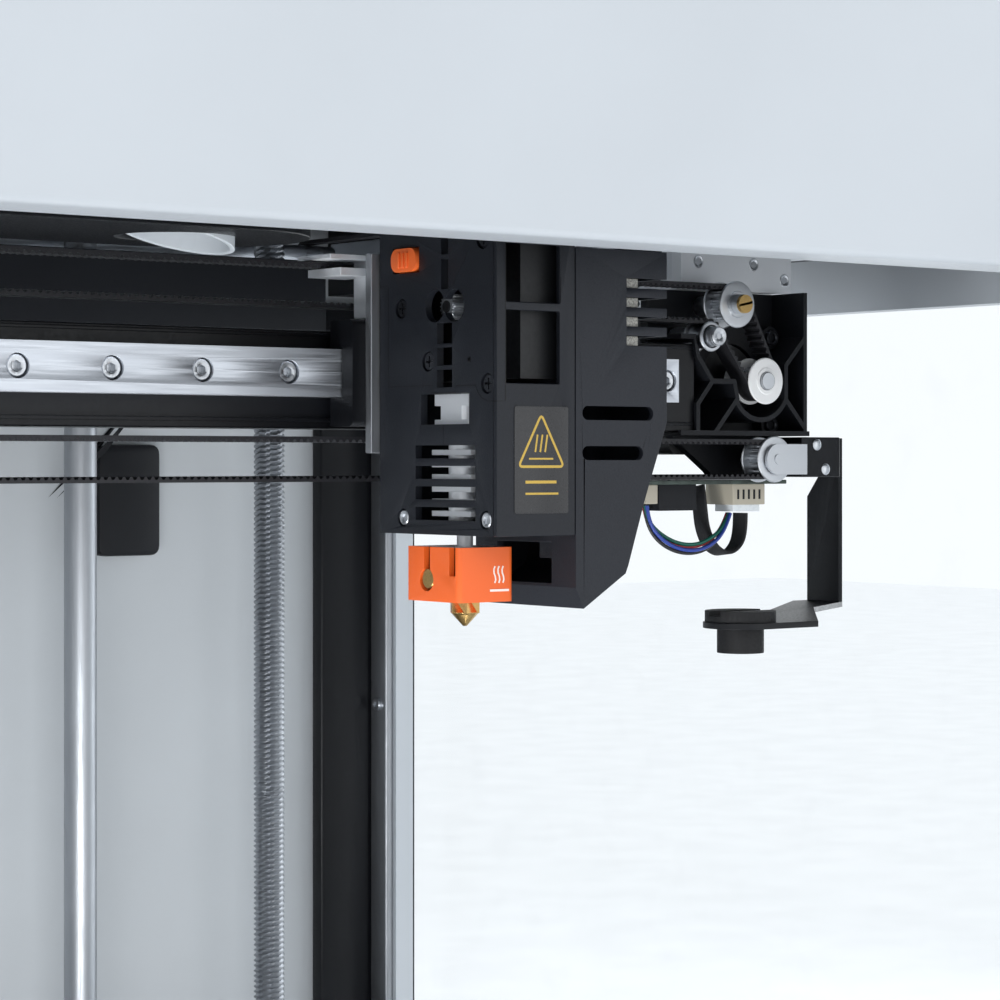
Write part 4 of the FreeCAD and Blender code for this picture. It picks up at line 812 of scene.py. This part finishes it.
def make_head_faces(side):
    place, sign = head_place(side)
    body = "head_" + side
    out = (-sign, 0, 0)
    across = (0, -sign, 0)
    zero = place(INNER_FACE, 0, 0)

    bm = bmesh.new()
    for y, z in ((17.7, 56.0), (6.3, 42.5), (-17.7, 36.6), (-15.9, 71.3)):
        cross_screw(bm, place(INNER_FACE + 1.4, y, z), out, 2.3, 1.0)
    from_bmesh("cover_screws_" + side, bm, body, "black_screw", 30)
    places = [place(INNER_FACE + 1.2, y, z) for y, z in ((16.9, 4.0), (-17.0, 3.9))]
    screws("foot_screws_" + side, body, "screw_steel", places, out, 1.9, 1.0, 0.95)
    seam = [(26.9, 61.9), (23.3, 61.7), (23.3, 36.6), (4.6, 36.6), (4.6, 34.7), (-5.1, 34.7),
            (-5.1, 36.3), (-13.1, 36.3), (-13.9, 34.7), (-15.5, 33.2), (-17.9, 32.4), (-21.4, 32.3)]
    split = [(0.0, 26.8), (0.0, 22.2)]
    dimple = [(y * 0.6 - 10.5, z * 0.6 + 42.6) for y, z in circle(0, 0, 1.0, 16)]
    marks("cover_seams_" + side, body, "silicone_black",
          [(flipped(seam, -sign), 0.28, False), (flipped(split, -sign), 0.2, False),
           (flipped(dimple, -sign), 0.3, True)], zero, across, UP)
    strip = [(-4.0, 78.2), (-4.0, 32.4), (-6.5, 32.3)]
    marks("front_seams_" + side, body, "silicone_black",
          [(flipped(strip, sign), 0.28, False)], place(0, FRONT_FACE, 0), RIGHT, UP)

    film = rounded_box(-1.4, 15.1, 5.4, 31.2, 0.6)
    spot = place(0, FRONT_FACE - 0.10, 0)
    flat_plate("label_plate_" + side, body, "label_film", [flipped(film, sign)], 0.16, 0.04, spot,
               RIGHT, UP)
    triangle = round_corners([(6.75, 29.3), (13.7, 16.7), (-0.2, 16.7)], 1.3)
    lines = [(flipped(triangle, sign), 0.62, True),
             (flipped([(3.0, 18.6), (10.4, 18.6)], sign), 0.42, False)]
    for n in (-1, 0, 1):
        x = 6.75 + 1.5 * n
        lines.append((flipped([(x - 0.35, 20.2), (x + 0.35, 24.4)], sign), 0.5, False))
    for x0, x1, z, width in ((1.9, 11.4, 13.0, 0.7), (1.9, 12.0, 10.2, 0.5)):
        lines.append((flipped([(x0, z), (x1, z)], sign), width, False))
    marks("label_marks_" + side, body, "gold_ink", lines, place(0, FRONT_FACE - 0.18, 0), RIGHT, UP, 0.02)


SLOT_TOP, SLOT_STEP, SLOTS = 63.3, 4.75, 4


def make_head_inserts(side):
    """The pale porous blocks and dark posts behind the four slots of the duct."""
    place, sign = head_place(side)
    body = "head_" + side
    for n in range(SLOTS):
        top = SLOT_TOP - SLOT_STEP * n
        outline = []
        for k in range(9):
            a = math.radians(90 + 22.5 * k)
            outline.append((35.0 + 1.2 * math.cos(a), top - 1.25 + 1.2 * math.sin(a)))
        outline += [(38.4, top - 2.45), (38.4, top - 0.05)]
        flat_plate("porous_block_%d_%s" % (n + 1, side), body, "sinter", [flipped(outline, sign)],
                   3.0, 0.25, place(0, FRONT_FACE + 2.6, 0), RIGHT, UP)
    bm = bmesh.new()
    for n in range(SLOTS):
        top = SLOT_TOP - SLOT_STEP * n
        merge(bm, revolve([(0.8, 0), (0.95, 0.25), (0.95, 6.5), (0.8, 6.9)],
                          place(40.6, FRONT_FACE + 4.0, top - 1.25), BACKWARD, 20))
    from_bmesh("slot_posts_" + side, bm, body, "duct_plastic")
    bm = bmesh.new()
    for n in range(5):
        x = 20.5 + 2.6 * n
        merge(bm, brick(place(x, -20.0, -6.0), place(x + 0.8, -3.5, 6.0)))
    bevel_all(bm, 0.2)
    from_bmesh("duct_vanes_" + side, bm, body, "duct_plastic")


def make_hotend(side):
    place, sign = head_place(side)
    body = "head_" + side
    obj = softened("hotend_" + side, 0.12, "brass", segments=1)
    obj.data.materials.append(MAT["white_aluminium"])
    split = place(0, 0, -4.6).z
    for face in obj.data.polygons:
        if face.center.z > split:
            face.material_index = 1
    obj = softened("hotend_sock_" + side, 0.55, "sock", segments=3)
    zero = place(0, -9.62, 0)
    lines = [(flipped([(0.4, -13.4), (6.2, -13.4)], sign), 0.55, False)]
    for n in (-1, 0, 1):
        x = 3.1 + 1.25 * n
        bend = [(sign * (x + 0.3 * math.sin(t * 1.3)), -11.6 + t * 0.82) for t in range(6)]
        lines.append((bend, 0.42, False))
    marks("sock_marks_" + side, body, "white_ink", lines, zero, RIGHT, UP, 0.04)
    plug = revolve([(0.6, 0), (2.3, 0.0), (2.45, 0.12), (2.45, 1.2)], place(-8.6, 3.6, -10.7),
                   (sign, 0, 0), 28)
    from_bmesh("heater_cartridge_" + side, plug, body, "brass", 30)


def make_gear(side):
    """The extruder's drive gear, with straight teeth."""
    node = "extruder_gear_" + side
    lo, hi = low(node), high(node)
    centre = Vector((lo.x, middle(node).y, middle(node).z))
    reach = (hi.x - lo.x) / MM
    outer = (hi.y - lo.y) / MM / 2
    bm = bmesh.new()
    teeth = 18
    rings = []
    for height, shrink in ((0.0, 0.35), (0.35, 0.0), (reach - 0.35, 0.0), (reach, 0.35)):
        ring = []
        for n in range(teeth * 4):
            a = 2 * math.pi * n / (teeth * 4)
            r = outer - (0.0, 0.0, 0.55, 0.55)[n % 4] - shrink
            ring.append(bm.verts.new(centre + Vector((height, r * math.cos(a), r * math.sin(a))) * MM))
        rings.append(ring)
    skin(bm, rings)
    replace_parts(from_bmesh(node + "_teeth", bm, "gear_" + side, "screw_steel", 25), node)


def make_button(side):
    softened("release_button_" + side, 0.45, "button", segments=3)
    place = head_place(side)[0]
    bm = bmesh.new()
    for n in (-1, 0, 1):
        y = 15.65 + 1.7 * n
        merge(bm, brick(place(-8.0, y - 0.45, 66.0), place(-7.3, y + 0.45, 69.8)))
    bevel_all(bm, 0.25, 3)
    from_bmesh("button_ridges_" + side, bm, "button_" + side, "button")


def make_heads():
    for side, numbers in (("right", (0, 2, 1, 3)), ("left", (3, 1, 0, 2))):
        softened("head_cover_" + side, 0.35, "cover_plastic")
        softened("head_front_" + side, 0.3, "cover_plastic")
        softened("head_duct_" + side, 0.5, "duct_plastic")
        stepper, mount, rider, clamp = numbers
        split_node("head_carriage_" + side, 0.3, ((0, 20, 30), "stepper_" + side + "_%d", "motor", stepper),
                   ((0, 0, 40), "mount_plate_" + side + "_%d", "aluminium", mount),
                   ((30, 0, 0), "rail_rider_" + side + "_%d", "black_metal", rider),
                   (ANY, "belt_clamp_" + side + "_%d", "white_aluminium", clamp))
        make_head_faces(side)
        make_head_inserts(side)
        make_hotend(side)
        make_gear(side)
        make_button(side)


# ---------------------------------------------------------------- gantry
RAIL_PITCH, RAIL_SCREWS = 25.0, 15


def make_rail():
    """The ground X rail with its screws, and lines along the black beam's top and bottom edges."""
    softened("x_rail", 0.25, "steel")
    lo = low("x_rail")
    z = middle("x_rail").z
    places = [Vector(((n - (RAIL_SCREWS - 1) / 2) * RAIL_PITCH * MM, lo.y + 4.4 * MM, z))
              for n in range(RAIL_SCREWS)]
    screws("rail_screws", "gantry", "screw_steel", places, FORWARD, 2.7, 3.8, 1.35)
    softened("x_beam", 0.5, "black_metal")
    bm = bmesh.new()
    beam_lo, beam_hi = low("x_beam"), high("x_beam")
    for z in (beam_lo.z + 2.2 * MM, beam_hi.z - 1.2 * MM):
        merge(bm, brick((beam_lo.x + 1 * MM, beam_lo.y - 0.5 * MM, z - 0.5 * MM),
                        (beam_hi.x - 1 * MM, beam_lo.y + 0.3 * MM, z + 0.5 * MM)))
    bevel_all(bm, 0.2)
    from_bmesh("beam_edges", bm, "gantry", "black_metal")


# Screws and pin ends on the gantry's ends: the plate's in mm across and up, the others in metres.
PLATE_SCREWS = ((203.2, 457.5), (224.9, 457.5), (237.3, 453.3))
BRACKET_SCREWS = ((0.2297, -0.1318, 0.4359), (0.2295, -0.1318, 0.4104))
TENSIONER_RIVETS = ((0.2384, -0.1425, 0.4045), (0.2419, -0.1425, 0.3973))
UPPER_AXLE = (0.2059, -0.1463, 0.4445)
RETURN_AXLE = (0.196, -0.1463, 0.43505)
TAB_SCREW = (0.2570, -0.1277, 0.4025)


def make_gantry_ends():
    split_node("end_bracket_right", 0.4, ((40, 0, 0), "bracket_right", "black_plastic"),
               ((12, 0, 10), "tensioner_block", "black_metal"),
               ((12, 0, 0), "tensioner_ears", "screw_steel"), (ANY, "axle_%d", "screw_steel", 2, 4, 5))
    split_node("end_bracket_left", 0.4, ((30, 0, 0), "bracket_left", "black_plastic"),
               (ANY, "axle_left_%d", "screw_steel", 1))
    split_node("end_plates", 0.5, ((50, 0, 0), "end_plate_%d", "white_aluminium", 0, 2),
               (ANY, "y_rider_%d", "steel_upright", 1, 3))
    split_node("x_motors", 0.4, (ANY, "x_motor_%d", "motor", 0, 1))
    softened("parking_brackets", 0.35, "black_metal")
    softened("parking_pads", 0.6, "silicone_black", segments=3)
    split_node("gantry_board", 0.25, ((40, 0, 0), "board", "board"),
               ((13.5, 0, 3), "black_connector", "black_plastic"), ((7, 0, 3), "wide_connector", "nylon"),
               ((7, 0, 0), "connector_latch", "latch"), (ANY, "small_connector", "nylon"))

    plate = low("end_plates")
    for sign, name in ((1, "right"), (-1, "left")):
        places = [Vector((sign * x * MM, plate.y + 0.5 * MM, z * MM)) for x, z in PLATE_SCREWS]
        screws("plate_screws_" + name, "gantry", "screw_steel", places, FORWARD, 2.0, 0.7, 1.25)
    screws("bracket_screws", "gantry", "black_screw", BRACKET_SCREWS, FORWARD, 2.3, 1.5, 1.1)
    slotted_end("axle_end_upper", "gantry", Vector(UPPER_AXLE), 2.7, "brass")
    screws("axle_end_return", "gantry", "screw_steel", [RETURN_AXLE], FORWARD, 2.7, 0.9, 1.1)
    rivets = bmesh.new()
    for spot in TENSIONER_RIVETS:
        merge(rivets, revolve([(1.7, -0.3), (1.7, 0.25), (1.3, 0.6), (0.3, 0.75)], spot, FORWARD, 24))
    from_bmesh("tensioner_rivets", rivets, "gantry", "screw_steel")
    screws("tab_screw_right", "gantry", "black_screw", [TAB_SCREW], FORWARD, 1.6, 0.8, 0.8)
    ends = bmesh.new()
    front = low("x_motors").y
    for node in ("right_motor_pulley", "left_motor_pulley"):
        spot = middle(node)
        merge(ends, revolve([(2.52, -1.7), (2.52, -0.1), (2.35, 0.06), (0.2, 0.06)],
                            (spot.x, front, spot.z), FORWARD))
    from_bmesh("motor_shaft_ends", ends, "gantry", "screw_steel")
    ears = bpy.data.objects["tensioner_ears"]
    ears.modifiers.clear()
    for face in ears.data.polygons:
        face.use_smooth = False


def make_board_details():
    """Solder side parts on the gantry's board, and connector pins."""
    lo, hi = low("gantry_board"), high("gantry_board")
    bm = bmesh.new()
    for n in range(8):
        x = lo.x + (4 + 6.0 * n) * MM
        far = (x + (1.6 + n % 3) * MM, hi.y - (5 - n % 2) * MM, hi.z + 0.7 * MM)
        merge(bm, brick((x, hi.y - 8 * MM, hi.z), far))
    bevel_all(bm, 0.1)
    from_bmesh("board_chips", bm, "gantry", "black_plastic")
    bm = bmesh.new()
    for n in range(5):
        x = lo.x + (34.2 + 2.1 * n) * MM
        merge(bm, brick((x, lo.y + 0.9 * MM, lo.z + 3.6 * MM),
                        (x + 0.7 * MM, lo.y + 1.1 * MM, lo.z + 6.4 * MM)))
    from_bmesh("connector_slots", bm, "gantry", "black_plastic")


# The looms under the gantry's board, in metres: the routes of the CAD, whose one bundle is four wires here.
RIBBON_ROUTE = ((0.2205, -0.1290, 0.3845), (0.2205, -0.1290, 0.3795), (0.2183, -0.1295, 0.3747),
                (0.2130, -0.1300, 0.3722), (0.2076, -0.1300, 0.3747), (0.2055, -0.1290, 0.3800),
                (0.2055, -0.1280, 0.3865), (0.2055, -0.1270, 0.3925))
WIRE_ROUTE = ((0.1830, -0.1300, 0.3870), (0.1833, -0.1304, 0.3825), (0.1870, -0.1315, 0.3778),
              (0.1930, -0.1328, 0.3748), (0.1995, -0.1340, 0.3745), (0.2060, -0.1340, 0.3770),
              (0.2110, -0.1325, 0.3808), (0.2140, -0.1310, 0.3844))


def cord_curve(name, route, radius, material, width=0.0):
    data = bpy.data.curves.new(name, "CURVE")
    data.dimensions = "3D"
    data.bevel_depth = radius
    data.bevel_resolution = 4
    data.resolution_u = 16
    data.use_fill_caps = True
    if width:
        data.extrude = width / 2 - radius
        data.twist_mode = "MINIMUM"
    spline = data.splines.new("NURBS")
    spline.points.add(len(route) - 1)
    for point, spot in zip(spline.points, route):
        point.co = (*spot, 1)
    spline.order_u = 3
    spline.use_endpoint_u = True
    obj = bpy.data.objects.new(name, data)
    SCENE.collection.objects.link(obj)
    data.materials.append(MAT[material])
    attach(obj, "gantry")
    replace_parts(obj, "board_wires")
    return obj


def make_looms():
    ribbon = cord_curve("ribbon_loom", RIBBON_ROUTE, 0.0005, "rubber", 0.006)
    for n, (material, dy, dz) in enumerate((("wire_blue", -0.0007, -0.0005), ("wire_red", 0.0007, 0.0004),
                                            ("wire_green", 0.0, 0.0011), ("wire_black", 0.0004, -0.0014))):
        route = [(x, y + dy, z + dz * min(1, 2 * min(k, len(WIRE_ROUTE) - 1 - k) / 4))
                 for k, (x, y, z) in enumerate(WIRE_ROUTE)]
        wire = cord_curve("wire_%d" % (n + 1), route, 0.00055, material)
        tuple(route[0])


# ---------------------------------------------------------------- lifting bed and fixed drives
def thread(name, node, body, pitch, starts, radius, depth, z0, z1):
    """A trapezoidal thread as a wound surface, on the node's own axis."""
    spot = (Vector((low(node).x + high(node).x, low(node).y + high(node).y, 0)) / 2)
    bm = bmesh.new()
    steps = 24
    rows = int((z1 - z0) / (pitch * MM) * 4)
    lead = pitch * starts
    rings = []
    for k in range(rows + 1):
        z = z0 + (z1 - z0) * k / rows
        ring = []
        for n in range(steps):
            a = 2 * math.pi * n / steps
            phase = ((z - z0) / MM - lead * n / steps) / pitch % 1.0
            r = radius - depth * min(1.0, max(0.0, 2.0 - abs(phase - 0.5) * 6.0))
            ring.append(bm.verts.new((spot.x + r * MM * math.cos(a), spot.y + r * MM * math.sin(a), z)))
        rings.append(ring)
    skin(bm, rings)
    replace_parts(from_bmesh(name, bm, body, "steel_upright", 50), node)


def make_drives():
    softened("z_guide_rods", 0.4, "steel_upright")
    for side in ("left", "right"):
        node, body = "z_leadscrew_" + side, "z_screw_" + side
        lo, hi = low(node), high(node)
        thread("screw_thread_" + side, node, body, 2.0, 4, 5.95, 0.8, lo.z + 26 * MM, hi.z - 0.5 * MM)
        spot = Vector(((lo.x + hi.x) / 2, (lo.y + hi.y) / 2, lo.z))
        coupler = revolve([(9.4, 0), (9.95, 0.5), (9.95, 8.0), (9.5, 8.4), (9.5, 9.4), (9.95, 9.8),
                           (9.95, 25.5), (9.4, 26.0)], spot, UP, 48)
        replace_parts(from_bmesh("coupler_" + side, coupler, body, "aluminium", 30), node)
        places = [spot + Vector((0, -9.3, z)) * MM for z in (4.5, 20.0)]
        screws("coupler_screws_" + side, body, "black_screw", places, FORWARD, 1.5, 0.6, 0.8)
    softened("y_drive_shaft", 0.3, "steel")
    softened("y_rails", 0.3, "steel")
    softened("y_belts", 0.12, "belt", segments=1)
    split_node("frame_motors", 0.5, ((20, 20, 20), "fixed_motor_%d", "motor", 0, 1, 3),
               (ANY, "motor_bracket_%d", "black_metal", 2, 4, 5))


def make_bed():
    softened("bed_carriage", 0.6, "black_metal")
    softened("heated_bed", 0.5, "bed_plate")
    softened("build_sheet", 0.3, "print_sheet")
    lo, hi = low("bed_carriage"), high("bed_carriage")
    for sign, name in ((1, "right"), (-1, "left")):
        bm = bmesh.new()
        for x, bore, outer in ((0.163, 6.1, 11.0), (0.245, 6.1, 9.5)):
            top = hi.z if x < 0.2 else hi.z - 16 * MM
            spot = Vector((sign * x, 0.165, top))
            merge(bm, open_ring([(bore, 0), (outer, 0), (outer, 1.2), (outer - 0.5, 1.7), (bore, 1.7)],
                                spot, UP))
        from_bmesh("bed_bearings_" + name, bm, "bed", "screw_steel", 30)
    knobs = bmesh.new()
    for sx in (-1, 1):
        for y in (-0.191, 0.001):
            spot = Vector((sx * 0.110, y, lo.z - 0.0002))
            merge(knobs, revolve([(4.0, 0), (8.2, 0.0), (9.0, 0.8), (9.0, 5.2), (8.2, 6.0), (3.0, 6.0)],
                                 spot, DOWN, 12))
    from_bmesh("levelling_knobs", knobs, "bed", "black_plastic", 20)


# ---------------------------------------------------------------- casing
def make_casing():
    for node, material, width in (
            ("base_tray", "white_shell", 1.2), ("base_deck", "panel_white", 0.4), ("feet", "rubber", 1.0),
            ("front_fascia", "white_shell", 0.9), ("side_frame_left", "white_shell", 1.0),
            ("side_frame_right", "white_shell", 1.0), ("back_inner_panel", "grey_panel", 0.3),
            ("rear_cover", "white_shell", 0.6), ("top_frame", "black_metal", 0.5),
            ("top_lid", "white_shell", 1.0), ("side_windows", "pane", 0.4),
            ("power_rocker", "black_plastic", 0.5)):
        softened(node, width, material)
    split_node("air_duct", 0.5, ((100, 0, 0), "air_housing", "black_metal"),
               (ANY, "air_collar", "panel_white"))
    split_node("touch_screen", 0.4, ((0, 5, 0), "screen_bezel", "black_plastic"),
               (ANY, "screen_glass", "screen"))
    split_node("power_inlet", 0.3, ((10, 0, 0), "inlet_body", "black_plastic"),
               (ANY, "inlet_pin_%d", "screw_steel", 1, 2, 3))
    split_node("base_electronics", 0.4, ((0, 200, 0), "power_supply", "aluminium"),
               ((100, 0, 0), "control_board", "board_green"),
               ((15, 0, 0), "terminal_%d", "nylon", *range(11, 17)),
               ((10, 0, 0), "driver_%d", "black_plastic", *range(6, 11)),
               (ANY, "standoff_%d", "screw_steel", 0, 2, 3, 4, 5, 18, 19, 20))


# Trim in the chamber, in metres: x of a column's inner side, y of a strip's front, corners of the shroud.
COLUMN_INNER = 0.291
STRIP_FRONT = 0.1865
SHROUD = ((-0.262, 0.1510, 0.4130), (0.262, 0.1535, 0.4765))
SHROUD_LUG = ((-0.150, 0.1535, 0.4700), (0.150, 0.1602, 0.4730))


def make_chamber():
    """Trim inside the chamber: corner columns, wall strips, rear shroud and the small wall cover."""
    panel = low("back_inner_panel")
    wall = low("side_frame_right").x
    bottom = high("base_deck").z + 9 * MM
    top = low("top_frame").z - 4 * MM
    for sign, name in ((1, "right"), (-1, "left")):
        column = bmesh.new()
        merge(column, brick((sign * COLUMN_INNER, panel.y - 7 * MM, bottom),
                            (sign * (wall - 0.4 * MM), panel.y - 0.3 * MM, top)))
        bevel_all(column, 1.0, 3)
        from_bmesh("corner_column_" + name, column, "frame", "black_metal")
        strip = bmesh.new()
        merge(strip, brick((sign * (wall - 4.0 * MM), STRIP_FRONT, bottom),
                           (sign * (wall - 0.3 * MM), panel.y - 7.5 * MM, top)))
        bevel_all(strip, 0.8, 3)
        from_bmesh("wall_strip_" + name, strip, "frame", "aluminium")
        places = [Vector((sign * (wall - 4.0 * MM), 0.192, z)) for z in (0.16, 0.30, 0.42)]
        screws("strip_screws_" + name, "frame", "screw_steel", places, (-sign, 0, 0), 2.6, 1.4, 1.2)
    shroud = brick(*SHROUD)
    merge(shroud, brick(*SHROUD_LUG))
    bevel_all(shroud, 0.4, 2)
    from_bmesh("rear_shroud", shroud, "frame", "black_plastic")
    outline = round_corners([(0.0, 0.0), (27.0, 0.0), (27.0, 43.0), (4.0, 43.0), (0.0, 39.0)], 4.0)
    flat_plate("wall_cover", "frame", "black_plastic", [outline], 7.0, 1.2,
               (0.189, panel.y - 3.8 * MM, 0.363), RIGHT, UP)


def make_outside():
    """Rings under the feet, the screen's picture, rear screws and window gaskets."""
    bm = bmesh.new()
    for sx in (-1, 1):
        for sy in (-1, 1):
            spot = (sx * 0.286, sy * 0.195, 0.0002)
            merge(bm, open_ring([(9.0, 0), (12.5, 0), (12.5, 0.5), (9.0, 0.5)], spot, UP))
    from_bmesh("foot_rings", bm, "frame", "rubber")
    glass = low("touch_screen")
    lines = []
    for n in range(3):
        box = rounded_box(-62 + 30 * n, -38 + 30 * n, -20, 12, 3)
        lines.append((box, 0.5, True))
    for n in range(4):
        lines.append(([(36, 14 - 9 * n), (62, 14 - 9 * n)], 1.0, False))
    spot = (0, glass.y + 0.36 * MM, middle("touch_screen").z)
    marks("screen_marks", "frame", "latch", lines, spot, RIGHT, UP, 0.02)
    cover = high("rear_cover")
    places = [Vector((sx * 0.305, cover.y - 1.0 * MM, z))
              for sx in (-1, 1) for z in (0.115, 0.25, 0.38, 0.49)]
    screws("rear_screws", "frame", "screw_steel", places, BACKWARD, 3.2, 0.9, 1.5)
    wall = high("side_frame_right").x
    sides = low("side_windows")
    far = high("side_windows")
    for sign, name in ((1, "right"), (-1, "left")):
        ring = rounded_box(sides.y / MM + 3, far.y / MM - 3, sides.z / MM + 3, far.z / MM - 3, 6)
        marks("window_gasket_" + name, "frame", "rubber", [(flipped(ring, sign), 2.0, True)],
              (sign * (wall - 0.5 * MM), 0, 0), (0, sign, 0), UP, 0.35)


def check_all_dressed():
    """Any node still showing without a look gets black metal, so nothing is left plain."""
    for name, obj in NODES.items():
        if not obj.hide_render and not obj.data.materials:
            obj.data.materials.append(MAT["black_metal"])


make_materials()
make_camera()
make_looms()
make_studio()
make_casing()
make_chamber()
make_outside()
make_drives()
make_bed()
make_rail()
make_gantry_ends()
make_board_details()
make_x_belts()
make_pulleys()
make_heads()
check_all_dressed()
